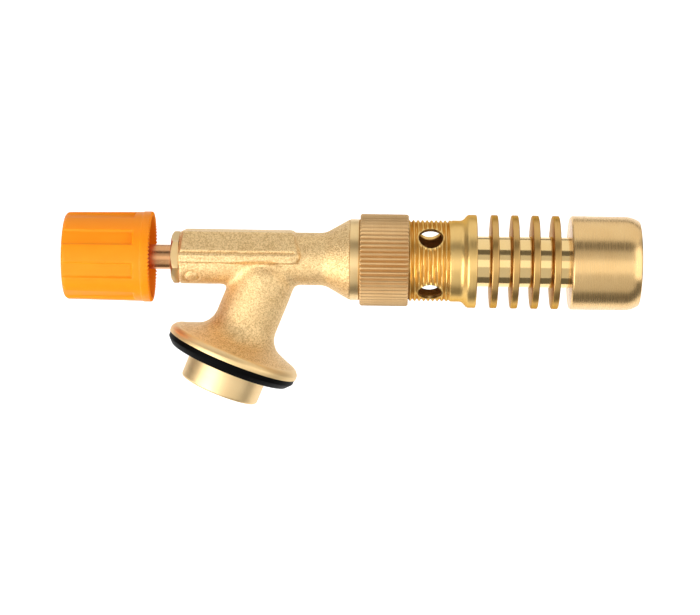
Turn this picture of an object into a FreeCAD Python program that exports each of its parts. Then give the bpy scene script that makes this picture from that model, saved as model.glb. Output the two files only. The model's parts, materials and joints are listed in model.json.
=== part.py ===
"""Lampwork torch for a screw-on gas canister.

The barrel lies along X: the control knob at -X, the burner cup at +X. The canister hangs below the
barrel on a leaning inlet branch. The origin is the centre of the rubber seat's sealing face.

Barrel pieces are drawn in the barrel frame: X along the barrel, starting where the barrel and inlet
axes cross. Inlet pieces are drawn in the inlet frame: Z along the inlet axis, towards the barrel,
starting at the sealing face.
"""
import FreeCAD, Part
import math
import os
import re
import Sketcher
from FreeCAD import Placement, Rotation, Vector

# Driving dimensions, in millimetres and degrees. A name that ends in _x is a place along the barrel
# frame's X, and one that ends in _z is a place along the inlet frame's Z.
DIMENSIONS = {
    "Layout": [
        ("inlet_tilt", 21.5, "lean of the inlet axis from the vertical"),
        ("inlet_rise", 25.7, "sealing face to barrel axis, along the inlet"),
        ("running_gap", 0.1, "radial clearance of a turning fit"),
    ],
    "Valve body": [
        ("barrel_radius", 5.85, "lower half of the forged barrel"),
        ("body_back_x", -20.5, "end face under the gland nut"),
        ("body_neck_x", 11.8, "where the cone starts"),
        ("cone_front_x", 17.3, "where the cone meets the shoulder"),
        ("shoulder_radius", 9.0, "machined shoulder"),
        ("shoulder_front_x", 19.4, "face that the mixing tube seats on"),
        ("spigot_radius", 7.0, "male thread inside the mixing tube"),
        ("spigot_front_x", 27.0, "end of that thread"),
        ("slab_side", 7.3, "half width of the hexagonal upper half"),
        ("slab_top", 6.1, "its flat top above the barrel axis"),
        ("slab_flat", 4.4, "half width of the flat top"),
        ("rib_low", -0.5, "lower edge of the side rib"),
        ("rib_high", 1.55, "upper edge of the side rib"),
        ("slab_back_low_x", -20.3, "back end of the slab at the rib"),
        ("slab_back_high_x", -19.6, "back end of the slab at the top"),
        ("slab_front_low_x", 6.9, "front end of the slab at the rib"),
        ("slab_front_high_x", 4.9, "front end of the slab at the top"),
        ("slab_round", 0.6, "rounding of the forged edges"),
        ("branch_radius", 7.0, "inlet branch"),
        ("dome_radius", 3.6, "where the branch's domed head flattens"),
        ("dome_drop", 4.5, "start of the dome below the barrel axis"),
        ("flare_z", 7.3, "where the branch opens into the flange"),
        ("flare_round", 3.2, "rounding at the foot of the branch"),
        ("flange_slope_radius", 14.5, "outer end of the flange's sloping back"),
        ("flange_slope_z", 4.2, "height of that end"),
        ("flange_radius", 15.1, "flange"),
        ("flange_edge_z", 3.4, "upper edge of the rim"),
    ],
    "Valve bores": [
        ("gland_bore_radius", 4.0, "thread of the gland nut"),
        ("gland_bore_x", -11.0, "bottom of the gland bore"),
        ("valve_thread_radius", 3.4, "internal thread of the spindle"),
        ("valve_thread_x", -3.4, "end of that thread"),
        ("chamber_radius", 2.5, "gas chamber round the needle"),
        ("seat_x", 0.8, "needle seat"),
        ("seat_radius", 1.0, "seat hole"),
        ("gas_bore_x", 4.0, "end of the seat hole"),
        ("gas_bore_radius", 2.0, "bore to the jet"),
        ("jet_radius", 3.0, "thread of the jet"),
        ("jet_back_x", 21.5, "bottom of the jet thread"),
        ("inlet_bore_radius", 1.5, "gas way up the branch"),
        ("adapter_thread_radius", 6.5, "thread of the canister adapter"),
        ("adapter_bore_z", 7.6, "bottom of that thread"),
    ],
    "Gland": [
        ("gland_across", 10.0, "hexagon across flats"),
        ("gland_back_x", -22.2, "outer face of the hexagon"),
        ("gland_front_x", -16.4, "end of the threaded shank"),
        ("gland_turn", 10.0, "hexagon's side corner above the horizontal"),
        ("packing_front_x", -15.2, "inner face of the packing ring"),
    ],
    "Spindle": [
        ("stem_radius", 2.75, "polished stem"),
        ("stem_back_x", -41.2, "end inside the knob's hub"),
        ("spindle_thread_back_x", -10.6, "back end of the threaded part"),
        ("spindle_thread_front_x", -4.4, "front end of the threaded part"),
        ("needle_shank_radius", 1.5, "shank behind the needle"),
        ("needle_back_x", -0.6, "thick end of the needle"),
        ("needle_tip_x", 2.8, "tip of the needle"),
        ("needle_tip_radius", 0.25, "flat of the tip"),
        ("oring_x", -12.1, "middle of the spindle O-ring"),
        ("oring_groove_radius", 2.0, "bottom of its groove"),
        ("oring_half_groove", 1.05, "half width of the groove"),
        ("oring_mid_radius", 2.95, "centre line of the O-ring"),
        ("oring_section", 0.9, "radius of its section"),
    ],
    "Knob": [
        ("knob_back_x", -46.2, "crown of the closed end"),
        ("knob_rim_x", -45.7, "edge of the closed end"),
        ("knob_front_x", -26.4, "open end"),
        ("knob_back_radius", 9.65, "closed end"),
        ("knob_front_radius", 9.9, "at the bead"),
        ("bead_radius", 10.05, "bead round the open end"),
        ("bead_back_x", -28.4, "back of the bead"),
        ("knob_mouth_radius", 9.25, "inside of the open end"),
        ("knob_mouth_x", -29.4, "bottom of that wider mouth"),
        ("knob_bore_radius", 7.85, "inside of the skirt"),
        ("knob_floor_x", -43.0, "inside of the closed end"),
        ("hub_radius", 4.6, "hub that holds the stem"),
        ("hub_front_x", -34.0, "end of the hub"),
        ("recess_count", 8, "grip recesses"),
        ("recess_width", 3.5, "width of one recess"),
        ("recess_depth", 0.5, "depth of one recess"),
        ("recess_front_x", -30.2, "wall at the recess's front end"),
        ("recess_turn", 30.3, "first recess above the side"),
        ("cap_radius", 5.5, "cap over the knob screw"),
        ("cap_front_x", -44.6, "bottom of the cap's seat"),
        ("screw_head_radius", 2.75, "knob screw head"),
        ("screw_head_x", -42.6, "under the head"),
        ("screw_radius", 1.5, "knob screw thread, M3"),
        ("screw_tip_x", -33.6, "tip of the screw"),
        ("screw_slot", 0.8, "width of the screwdriver slot"),
    ],
    "Jet": [
        ("jet_across", 7.0, "hexagon across flats"),
        ("jet_hex_front_x", 29.2, "front of the hexagon"),
        ("jet_nose_x", 30.8, "nose of the jet"),
        ("jet_nose_radius", 1.5, "face of the nose"),
        ("jet_shoulder_radius", 2.6, "back of the nose"),
        ("jet_bore_radius", 1.2, "bore that holds the filter"),
        ("jet_bore_x", 25.0, "end of that bore"),
        ("orifice_radius", 0.2, "gas orifice"),
        ("jet_filter_x", 23.7, "front face of the jet filter"),
    ],
    "Mixing tube": [
        ("tube_radius", 9.0, "M18 x 1 thread over the crests"),
        ("tube_thread_x", 39.9, "end of the thread"),
        ("tube_pitch", 1.0, "pitch of the thread"),
        ("thread_depth", 0.6, "depth of the thread"),
        ("thread_root", 0.13, "flat at the root"),
        ("thread_mouth", 0.9, "width of the groove at the crest"),
        ("tube_plain_x", 42.05, "start of the end flange"),
        ("tube_flange_x", 43.2, "end of its flare"),
        ("tube_flange_radius", 10.35, "end flange"),
        ("tube_front_x", 45.2, "front face"),
        ("tube_seat_x", 28.2, "end of the rear internal thread"),
        ("air_chamber_radius", 7.4, "inside, at the air holes"),
        ("air_chamber_x", 40.2, "front of the air chamber"),
        ("neck_thread_radius", 6.5, "thread of the finned neck"),
        ("air_hole_radius", 2.6, "air hole"),
        ("air_hole_x", 35.0, "middle of the air holes"),
        ("air_hole_count", 4, "air holes"),
        ("air_hole_turn", 40.0, "first air hole above the side"),
    ],
    "Air collar": [
        ("collar_back_x", 19.5, "back face, just off the shoulder"),
        ("collar_front_x", 30.2, "front face"),
        ("collar_radius", 10.2, "over the knurl"),
        ("collar_bore_radius", 9.15, "clear of the thread crests"),
        ("collar_chamfer", 0.4, "chamfer at both ends"),
        ("knurl_count", 60, "straight knurl ridges"),
        ("knurl_depth", 0.4, "depth of the knurl"),
        ("knurl_mouth", 0.75, "width of one groove at the outside"),
        ("grip_ring_x", 23.0, "back face of the friction ring"),
        ("grip_ring_width", 1.2, "width of the friction ring"),
        ("grip_groove_radius", 9.65, "bottom of the ring's groove"),
    ],
    "Finned neck": [
        ("neck_radius", 5.625, "polished neck"),
        ("neck_front_x", 65.9, "front of the neck"),
        ("neck_entry_radius", 5.2, "mouth of the mixing bore"),
        ("neck_throat_radius", 3.5, "throat of the mixing bore"),
        ("neck_throat_x", 47.0, "start of the throat"),
        ("cup_thread_radius", 4.5, "thread that carries the burner cup"),
        ("fin_radius", 10.35, "cooling fin"),
        ("fin_thick", 1.5, "thickness of a fin"),
        ("fin_first_x", 49.1, "middle of the first fin"),
        ("fin_pitch", 4.52, "from fin to fin"),
        ("fin_count", 4, "cooling fins"),
        ("fin_chamfer", 0.25, "chamfer of a fin's edges"),
    ],
    "Burner": [
        ("cup_radius", 10.4, "burner cup"),
        ("cup_front_x", 81.2, "mouth of the burner"),
        ("cup_floor_x", 70.1, "inside of the cup's back wall"),
        ("cup_bore_radius", 9.0, "inside of the cup"),
        ("cup_mouth_length", 2.0, "rounded mouth, along the axis"),
        ("cup_mouth_drop", 1.0, "rounded mouth, towards the axis"),
        ("cup_chamfer", 0.35, "chamfer of the back edge"),
        ("gauze_back_x", 72.0, "back face of the gauze"),
        ("gauze_front_x", 72.4, "front face of the gauze"),
        ("gauze_hole_radius", 0.7, "opening of the gauze"),
        ("spacer_bore_radius", 8.0, "inside of the spacer ring"),
        ("holder_front_x", 75.6, "front face of the flame holder"),
        ("holder_port_radius", 2.8, "centre port"),
        ("pilot_ring_radius", 6.3, "circle of the pilot ports"),
        ("pilot_radius", 0.8, "pilot port"),
        ("pilot_count", 12, "pilot ports"),
    ],
    "Inlet": [
        ("seat_thick", 2.4, "rubber seat washer"),
        ("seat_washer_radius", 14.85, "outside of the washer"),
        ("seat_bevel", 1.2, "bevel of the washer's lower edge, across"),
        ("seat_bevel_z", 1.3, "top of that bevel"),
        ("boss_radius", 9.0, "boss that enters the canister's cup"),
        ("boss_mouth_z", -6.0, "mouth of the boss"),
        ("boss_chamfer", 0.5, "chamfer of the boss"),
        ("canister_thread_radius", 5.25, "7/16-28 UNEF, at the thread's mid height"),
        ("canister_thread_z", 1.5, "end of the canister thread"),
        ("thread_relief_radius", 5.5, "relief behind the canister thread"),
        ("thread_relief_z", 3.0, "end of the relief"),
        ("canister_oring_mid", 4.0, "centre line of the canister O-ring"),
        ("canister_oring_section", 0.8, "radius of its section"),
        ("canister_oring_seat_radius", 4.9, "recess for that O-ring"),
        ("pin_seat_z", 4.6, "seat of the depressor pin"),
        ("pin_radius", 2.5, "pressed body of the pin"),
        ("pin_tip_radius", 1.2, "tip of the pin"),
        ("pin_tip_z", 1.6, "end of the tip"),
        ("pin_top_z", 6.0, "top of the pin"),
        ("pin_flat", 1.9, "gas flats of the pin, from its axis"),
        ("pin_flat_count", 3, "gas flats"),
        ("adapter_top_z", 7.0, "top of the adapter"),
        ("adapter_oring_z", 5.7, "middle of the adapter O-ring"),
        ("adapter_oring_mid", 6.05, "centre line of the adapter O-ring"),
        ("adapter_oring_section", 0.45, "radius of its section"),
        ("adapter_groove_radius", 5.6, "bottom of its groove"),
        ("adapter_half_groove", 0.5, "half width of its groove"),
    ],
}

doc = FreeCAD.newDocument("lampwork_torch")
dims = doc.addObject("Spreadsheet::Sheet", "dims")
ALIASES = set()


def fill_sheet():
    """Write every driving dimension to the spreadsheet, one named cell each."""
    row = 1
    for group, entries in DIMENSIONS.items():
        dims.set(f"A{row}", group)
        row += 1
        for alias, number, note in entries:
            dims.set(f"A{row}", alias)
            dims.set(f"B{row}", str(number))
            dims.set(f"C{row}", note)
            dims.setAlias(f"B{row}", alias)
            ALIASES.add(alias)
            row += 1
    doc.recompute()


def bound(formula):
    """Turn a formula of dimension names into an expression that reads the sheet."""
    return re.sub(r"[a-z][a-z0-9_]*", lambda word: in_sheet(word.group()), formula)


def in_sheet(word):
    """Give a dimension's name its sheet; leave units and functions alone."""
    return f"dims.{word}" if word in ALIASES else word


def new_body(label):
    """Start a sub-part."""
    body = doc.addObject("PartDesign::Body", label)
    body.Label = label
    return body


def datum(body, role):
    """Find one of the body's own origin planes or axes."""
    return next(item for item in body.Origin.OriginFeatures if item.Role == role)


def new_sketch(body, name, plane, lift=None, turn=None, about=(0, 0, 1)):
    """Attach a sketch to an origin plane, lifted along its normal or turned about one of its axes."""
    sketch = body.newObject("Sketcher::SketchObject", name)
    sketch.AttachmentSupport = [(datum(body, plane), "")]
    sketch.MapMode = "FlatFace"
    if lift:
        sketch.setExpression("AttachmentOffset.Base.z", bound(lift))
    if turn:
        sketch.AttachmentOffset = Placement(Vector(), Rotation(Vector(*about), 1))
        sketch.setExpression("AttachmentOffset.Rotation.Angle", bound(f"({turn}) * 1 deg"))
    return sketch


def hold(sketch, kind, index, point, formula, start):
    """Fix a point's distance from the sketch's origin to a formula."""
    number = sketch.addConstraint(Sketcher.Constraint(kind, -1, 1, index, point, start))
    sketch.setExpression(f"Constraints[{number}]", bound(formula))


def draw_polygon(sketch, corners):
    """Draw a closed outline. The corners start on a circle, and the constraints place them."""
    count = len(corners)
    start = [Vector(10 * math.cos(2 * math.pi * i / count), 10 * math.sin(2 * math.pi * i / count), 0)
             for i in range(count)]
    first = sketch.GeometryCount
    for i in range(count):
        sketch.addGeometry(Part.LineSegment(start[i], start[(i + 1) % count]), False)
    for i in range(count):
        following = first + (i + 1) % count
        sketch.addConstraint(Sketcher.Constraint("Coincident", first + i, 2, following, 1))
    for i, (across, up) in enumerate(corners):
        hold(sketch, "DistanceX", first + i, 1, across, start[i].x)
        hold(sketch, "DistanceY", first + i, 1, up, start[i].y)


def draw_circle(sketch, radius, across="0", up="0"):
    """Draw a circle from its radius and the place of its centre."""
    index = sketch.addGeometry(Part.Circle(Vector(1, 1, 0), Vector(0, 0, 1), 1), False)
    hold(sketch, "DistanceX", index, 3, across, 1)
    hold(sketch, "DistanceY", index, 3, up, 1)
    number = sketch.addConstraint(Sketcher.Constraint("Radius", index, 1))
    sketch.setExpression(f"Constraints[{number}]", bound(radius))


def draw_hexagon(sketch, across_flats):
    """Draw a hexagon round the origin with two corners on the horizontal axis."""
    corners = [(f"{across_flats} / sqrt(3) * cos({60 * i} deg)",
                f"{across_flats} / sqrt(3) * sin({60 * i} deg)") for i in range(6)]
    draw_polygon(sketch, corners)


def revolve(body, name, corners, axis="H_Axis", kind="Revolution", turn=None):
    """Turn an outline about an axis of its sketch on the XZ plane: add it, or groove it out."""
    sketch = new_sketch(body, f"{name}_outline", "XZ_Plane", turn=turn)
    draw_polygon(sketch, corners)
    doc.recompute()
    feature = body.newObject(f"PartDesign::{kind}", name)
    feature.Profile = sketch
    feature.ReferenceAxis = (sketch, [axis])
    feature.Angle = 360
    sketch.Visibility = False
    return finish_feature(body, feature, kind == "Groove")


def extrude(body, name, sketch, kind, length=None, both_ways=False, back=False):
    """Pad or pocket a sketch, by a length or right through."""
    doc.recompute()
    feature = body.newObject(f"PartDesign::{kind}", name)
    feature.Profile = sketch
    if length:
        feature.setExpression("Length", bound(length))
    else:
        feature.Type = "ThroughAll"
    if both_ways:
        feature.SideType = "Symmetric"
    feature.Reversed = back
    sketch.Visibility = False
    return finish_feature(body, feature, kind == "Pocket")


def finish_feature(body, feature, removes):
    """Recompute a feature and check that it added or removed material as meant."""
    before = feature.BaseFeature.Shape.Volume if feature.BaseFeature else 0.0
    doc.recompute()
    change = feature.Shape.Volume - before
    if (change < 0) != removes or abs(change) < 1e-6:
        raise ValueError(f"{body.Label}.{feature.Label} changed the volume by {change:.4f}")
    return feature


def repeat_round(body, feature, count, axis="X_Axis"):
    """Repeat a feature evenly round an axis."""
    pattern = body.newObject("PartDesign::PolarPattern", f"{feature.Label}_round")
    pattern.Originals = [feature]
    pattern.Axis = (datum(body, axis), [""])
    pattern.Angle = 360
    pattern.setExpression("Occurrences", bound(count))
    feature.Visibility = False
    body.Tip = pattern
    doc.recompute()
    return pattern


def soften(body, name, kind, size, wanted):
    """Fillet or chamfer every edge of the body's tip that the test picks."""
    base = body.Tip
    edges = [f"Edge{i}" for i, edge in enumerate(base.Shape.Edges, 1) if wanted(edge)]
    if not edges:
        raise ValueError(f"{body.Label}.{name} found no edge")
    feature = body.newObject(f"PartDesign::{kind}", name)
    feature.Base = (base, edges)
    feature.setExpression("Radius" if kind == "Fillet" else "Size", bound(size))
    base.Visibility = False
    doc.recompute()
    return feature


def size_of(alias):
    """Read one dimension, for picking edges."""
    return float(dims.get(alias))


def is_circle(edge, radius):
    """Tell whether an edge is a circle of this radius."""
    return isinstance(edge.Curve, Part.Circle) and abs(edge.Curve.Radius - radius) < 1e-4


def place_on_barrel(part, along="0"):
    """Put a part in the barrel frame, its own origin this far along X."""
    part.setExpression("Placement.Base.x", bound(f"inlet_rise * sin(inlet_tilt * 1 deg) + {along}"))
    part.setExpression("Placement.Base.z", bound("inlet_rise * cos(inlet_tilt * 1 deg)"))


def place_on_inlet(part, up="0"):
    """Put a part in the inlet frame, its own origin this far up the inlet axis."""
    part.Placement = Placement(Vector(), Rotation(Vector(0, 1, 0), 1))
    part.setExpression("Placement.Rotation.Angle", bound("inlet_tilt * 1 deg"))
    part.setExpression("Placement.Base.x", bound(f"({up}) * sin(inlet_tilt * 1 deg)"))
    part.setExpression("Placement.Base.z", bound(f"({up}) * cos(inlet_tilt * 1 deg)"))


def turned_on_barrel(label, corners):
    """Make a sub-part by turning (place along X, radius) corners about the barrel axis."""
    body = new_body(label)
    revolve(body, "turning", corners)
    place_on_barrel(body)
    return body


def turned_on_inlet(label, corners):
    """Make a sub-part by turning (radius, height) corners about the inlet axis."""
    body = new_body(label)
    revolve(body, "turning", corners, axis="V_Axis")
    place_on_inlet(body)
    return body


def o_ring(label, mid_radius, section_radius):
    """Make an O-ring about its own Z axis."""
    ring = doc.addObject("Part::Torus", label)
    ring.Label = label
    ring.setExpression("Radius1", bound(mid_radius))
    ring.setExpression("Radius2", bound(section_radius))
    return ring


def make_valve_body():
    """Forged brass valve body: barrel, hexagonal upper half, inlet branch and flange, then its bores."""
    body = new_body("valve_body")
    slab = new_sketch(body, "slab_section", "YZ_Plane", lift="slab_back_low_x")
    draw_polygon(slab, [
        ("-slab_side", "rib_low"), ("slab_side", "rib_low"), ("slab_side", "rib_high"),
        ("slab_flat", "slab_top"), ("-slab_flat", "slab_top"), ("-slab_side", "rib_high")])
    extrude(body, "slab", slab, "Pad", "slab_front_low_x - slab_back_low_x")

    slopes = new_sketch(body, "slab_end_slopes", "XZ_Plane")
    draw_polygon(slopes, [
        ("slab_back_low_x", "rib_low"), ("slab_back_high_x", "slab_top"),
        ("slab_back_low_x", "slab_top")])
    draw_polygon(slopes, [
        ("slab_front_low_x", "rib_low"), ("slab_front_low_x", "slab_top"),
        ("slab_front_high_x", "slab_top")])
    extrude(body, "slab_ends", slopes, "Pocket", both_ways=True)

    lengthwise = [("slab_side", "rib_low"), ("slab_side", "rib_high"), ("slab_flat", "slab_top")]
    places = [(size_of(across), size_of(up)) for across, up in lengthwise]

    def along_slab(edge):
        """Tell whether an edge is one of the slab's six long edges."""
        ends = [vertex.Point for vertex in edge.Vertexes]
        if len(ends) != 2 or abs(ends[0].x - ends[1].x) < size_of("slab_top"):
            return False
        return any(abs(abs(end.y) - across) < 0.01 and abs(end.z - up) < 0.01
                   for end in ends for across, up in places)

    soften(body, "slab_rounds", "Fillet", "slab_round", along_slab)

    revolve(body, "barrel", [
        ("body_back_x", "0"), ("body_back_x", "barrel_radius"), ("body_neck_x", "barrel_radius"),
        ("cone_front_x", "shoulder_radius"), ("shoulder_front_x", "shoulder_radius"),
        ("shoulder_front_x", "spigot_radius"), ("spigot_front_x", "spigot_radius"),
        ("spigot_front_x", "0")])

    revolve(body, "branch", [
        ("0", "0"), ("dome_radius", "0"), ("branch_radius", "-dome_drop"),
        ("branch_radius", "flare_z - inlet_rise"),
        ("flange_slope_radius", "flange_slope_z - inlet_rise"),
        ("flange_radius", "flange_edge_z - inlet_rise"), ("flange_radius", "seat_thick - inlet_rise"),
        ("0", "seat_thick - inlet_rise")], axis="V_Axis", turn="-inlet_tilt")
    foot = size_of("inlet_rise") - size_of("flare_z")
    soften(body, "branch_flare", "Fillet", "flare_round",
           lambda edge: is_circle(edge, size_of("branch_radius"))
           and abs(edge.Curve.Center.Length - foot) < 1e-3)

    revolve(body, "barrel_bores", [
        ("body_back_x", "0"), ("body_back_x", "gland_bore_radius"),
        ("gland_bore_x", "gland_bore_radius"), ("gland_bore_x", "valve_thread_radius"),
        ("valve_thread_x", "valve_thread_radius"), ("valve_thread_x", "chamber_radius"),
        ("seat_x", "chamber_radius"), ("seat_x", "seat_radius"), ("gas_bore_x", "seat_radius"),
        ("gas_bore_x", "gas_bore_radius"), ("jet_back_x", "gas_bore_radius"),
        ("jet_back_x", "jet_radius"), ("spigot_front_x", "jet_radius"), ("spigot_front_x", "0")],
        kind="Groove")
    revolve(body, "inlet_bores", [
        ("0", "0"), ("inlet_bore_radius", "0"), ("inlet_bore_radius", "adapter_bore_z - inlet_rise"),
        ("adapter_thread_radius", "adapter_bore_z - inlet_rise"),
        ("adapter_thread_radius", "seat_thick - inlet_rise"), ("0", "seat_thick - inlet_rise")],
        axis="V_Axis", kind="Groove", turn="-inlet_tilt")
    place_on_barrel(body)
    return body


def make_gland_nut():
    """Hexagonal gland nut that holds the packing round the stem."""
    body = new_body("gland_nut")
    hexagon = new_sketch(body, "hexagon", "YZ_Plane", lift="gland_back_x", turn="-gland_turn")
    draw_hexagon(hexagon, "gland_across")
    extrude(body, "head", hexagon, "Pad", "body_back_x - gland_back_x")
    revolve(body, "corner_chamfer", [
        ("gland_back_x", "gland_across / 2"), ("gland_back_x", "gland_across"),
        ("gland_back_x + gland_across / 4", "gland_across")], kind="Groove")
    revolve(body, "shank", [
        ("body_back_x", "0"), ("body_back_x", "gland_bore_radius"),
        ("gland_front_x", "gland_bore_radius"), ("gland_front_x", "0")])
    revolve(body, "bore", [
        ("gland_back_x", "0"), ("gland_back_x", "stem_radius + running_gap"),
        ("gland_front_x", "stem_radius + running_gap"), ("gland_front_x", "0")], kind="Groove")
    place_on_barrel(body)
    return body


def make_packing():
    """PTFE packing ring that the gland nut presses."""
    return turned_on_barrel("gland_packing", [
        ("gland_front_x", "stem_radius + running_gap"), ("gland_front_x", "gland_bore_radius"),
        ("packing_front_x", "gland_bore_radius"), ("packing_front_x", "stem_radius + running_gap")])


def make_spindle():
    """Valve spindle: stem, O-ring groove, threaded part and needle, tapped for the knob screw."""
    body = turned_on_barrel("valve_spindle", [
        ("stem_back_x", "0"), ("stem_back_x", "stem_radius"),
        ("oring_x - oring_half_groove", "stem_radius"),
        ("oring_x - oring_half_groove", "oring_groove_radius"),
        ("oring_x + oring_half_groove", "oring_groove_radius"),
        ("oring_x + oring_half_groove", "stem_radius"), ("spindle_thread_back_x", "stem_radius"),
        ("spindle_thread_back_x", "valve_thread_radius - running_gap"),
        ("spindle_thread_front_x", "valve_thread_radius - running_gap"),
        ("spindle_thread_front_x", "needle_shank_radius"), ("needle_back_x", "needle_shank_radius"),
        ("needle_tip_x", "needle_tip_radius"), ("needle_tip_x", "0")])
    revolve(body, "screw_hole", [
        ("stem_back_x", "0"), ("stem_back_x", "screw_radius"), ("screw_tip_x", "screw_radius"),
        ("screw_tip_x + screw_radius / 2", "0")], kind="Groove")
    return body


def make_spindle_oring():
    """O-ring in the spindle's groove."""
    ring = o_ring("spindle_oring", "oring_mid_radius", "oring_section")
    ring.Placement = Placement(Vector(), Rotation(Vector(0, 1, 0), 90))
    place_on_barrel(ring, "oring_x")
    return ring


def make_knob():
    """Moulded knob: tapered skirt with grip recesses, a bead at its open end and a hub inside."""
    body = turned_on_barrel("control_knob", [
        ("knob_back_x", "0"), ("knob_back_x", "cap_radius"), ("knob_rim_x", "knob_back_radius"),
        ("bead_back_x", "knob_front_radius"), ("bead_back_x", "bead_radius"),
        ("knob_front_x", "bead_radius"), ("knob_front_x", "knob_mouth_radius"),
        ("knob_mouth_x", "knob_mouth_radius"), ("knob_mouth_x", "knob_bore_radius"),
        ("knob_floor_x", "knob_bore_radius"), ("knob_floor_x", "hub_radius"),
        ("hub_front_x", "hub_radius"), ("hub_front_x", "stem_radius"), ("stem_back_x", "stem_radius"),
        ("stem_back_x", "screw_radius"), ("screw_head_x", "screw_radius"),
        ("screw_head_x", "screw_head_radius"), ("cap_front_x", "screw_head_radius"),
        ("cap_front_x", "0")])
    revolve(body, "cap_seat", [
        ("knob_back_x", "0"), ("knob_back_x", "cap_radius"), ("cap_front_x", "cap_radius"),
        ("cap_front_x", "0")], kind="Groove")
    recess = new_sketch(body, "recess_section", "YZ_Plane", lift="knob_back_x", turn="-recess_turn")
    draw_polygon(recess, [
        ("knob_back_radius - recess_depth", "-recess_width / 2"),
        ("bead_radius + recess_depth", "-recess_width / 2"),
        ("bead_radius + recess_depth", "recess_width / 2"),
        ("knob_back_radius - recess_depth", "recess_width / 2")])
    cut = extrude(body, "recess", recess, "Pocket", "recess_front_x - knob_back_x", back=True)
    repeat_round(body, cut, "recess_count")
    return body


def make_knob_cap():
    """Press-in cap that hides the knob screw."""
    return turned_on_barrel("knob_cap", [
        ("knob_back_x", "0"), ("knob_back_x", "cap_radius"), ("cap_front_x", "cap_radius"),
        ("cap_front_x", "0")])


def make_knob_screw():
    """Slotted screw that holds the knob on the stem."""
    body = turned_on_barrel("knob_screw", [
        ("cap_front_x", "0"), ("cap_front_x", "screw_head_radius"),
        ("screw_head_x", "screw_head_radius"), ("screw_head_x", "screw_radius"),
        ("screw_tip_x", "screw_radius"), ("screw_tip_x", "0")])
    slot = new_sketch(body, "slot_section", "YZ_Plane", lift="cap_front_x")
    draw_polygon(slot, [
        ("-screw_head_radius * 2", "-screw_slot / 2"), ("screw_head_radius * 2", "-screw_slot / 2"),
        ("screw_head_radius * 2", "screw_slot / 2"), ("-screw_head_radius * 2", "screw_slot / 2")])
    extrude(body, "slot", slot, "Pocket", "screw_slot", back=True)
    return body


def make_jet():
    """Brass jet with a hexagon and a fine orifice."""
    body = turned_on_barrel("gas_jet", [
        ("jet_back_x", "0"), ("jet_back_x", "jet_radius"), ("spigot_front_x", "jet_radius"),
        ("jet_hex_front_x", "jet_shoulder_radius"), ("jet_nose_x", "jet_nose_radius"),
        ("jet_nose_x", "0")])
    hexagon = new_sketch(body, "hexagon", "YZ_Plane", lift="spigot_front_x")
    draw_hexagon(hexagon, "jet_across")
    extrude(body, "head", hexagon, "Pad", "jet_hex_front_x - spigot_front_x")
    revolve(body, "bore", [
        ("jet_back_x", "0"), ("jet_back_x", "jet_bore_radius"), ("jet_bore_x", "jet_bore_radius"),
        ("jet_bore_x", "orifice_radius"), ("jet_nose_x", "orifice_radius"), ("jet_nose_x", "0")],
        kind="Groove")
    return body


def make_jet_filter():
    """Sintered bronze filter pressed in behind the jet."""
    return turned_on_barrel("jet_filter", [
        ("jet_back_x", "0"), ("jet_back_x", "jet_bore_radius"), ("jet_filter_x", "jet_bore_radius"),
        ("jet_filter_x", "0")])


def make_mixing_tube():
    """Mixing tube: M18 x 1 outside thread for the air collar, end flange and four air holes."""
    body = turned_on_barrel("mixing_tube", [
        ("shoulder_front_x", "spigot_radius"), ("shoulder_front_x", "tube_radius"),
        ("tube_plain_x", "tube_radius"), ("tube_flange_x", "tube_flange_radius"),
        ("tube_front_x", "tube_flange_radius"), ("tube_front_x", "neck_thread_radius"),
        ("air_chamber_x", "neck_thread_radius"), ("air_chamber_x", "air_chamber_radius"),
        ("tube_seat_x", "air_chamber_radius"), ("tube_seat_x", "spigot_radius")])

    tooth = new_sketch(body, "thread_section", "XZ_Plane")
    start = "shoulder_front_x - tube_pitch"
    draw_polygon(tooth, [
        (f"{start} - thread_mouth / 2", "tube_radius + thread_depth / 10"),
        (f"{start} + thread_mouth / 2", "tube_radius + thread_depth / 10"),
        (f"{start} + thread_root / 2", "tube_radius - thread_depth"),
        (f"{start} - thread_root / 2", "tube_radius - thread_depth")])
    doc.recompute()
    thread = body.newObject("PartDesign::SubtractiveHelix", "thread")
    thread.Profile = tooth
    thread.ReferenceAxis = (tooth, ["H_Axis"])
    thread.Mode = "pitch-height-angle"
    thread.setExpression("Pitch", bound("tube_pitch"))
    thread.setExpression("Height", bound("tube_thread_x - shoulder_front_x + tube_pitch / 2"))
    tooth.Visibility = False
    finish_feature(body, thread, True)

    hole = new_sketch(body, "air_hole_section", "XZ_Plane", turn="-air_hole_turn", about=(1, 0, 0))
    draw_circle(hole, "air_hole_radius", "air_hole_x")
    cut = extrude(body, "air_hole", hole, "Pocket", back=True)
    repeat_round(body, cut, "air_hole_count")
    return body


def make_air_collar():
    """Knurled collar that screws along the mixing tube and covers the air holes."""
    middle = "grip_ring_x + grip_ring_width"
    body = turned_on_barrel("air_collar", [
        ("collar_back_x", "collar_bore_radius"), ("collar_back_x", "collar_radius - collar_chamfer"),
        ("collar_back_x + collar_chamfer", "collar_radius"),
        ("collar_front_x - collar_chamfer", "collar_radius"),
        ("collar_front_x", "collar_radius - collar_chamfer"), ("collar_front_x", "collar_bore_radius"),
        (middle, "collar_bore_radius"), (middle, "grip_groove_radius"),
        ("grip_ring_x", "grip_groove_radius"), ("grip_ring_x", "collar_bore_radius")])
    groove = new_sketch(body, "knurl_section", "YZ_Plane", lift="collar_back_x")
    draw_polygon(groove, [
        ("collar_radius - knurl_depth", "0"), ("collar_radius + knurl_depth", "knurl_mouth"),
        ("collar_radius + knurl_depth", "-knurl_mouth")])
    cut = extrude(body, "knurl", groove, "Pocket", "collar_front_x - collar_back_x", back=True)
    repeat_round(body, cut, "knurl_count")
    return body


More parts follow.
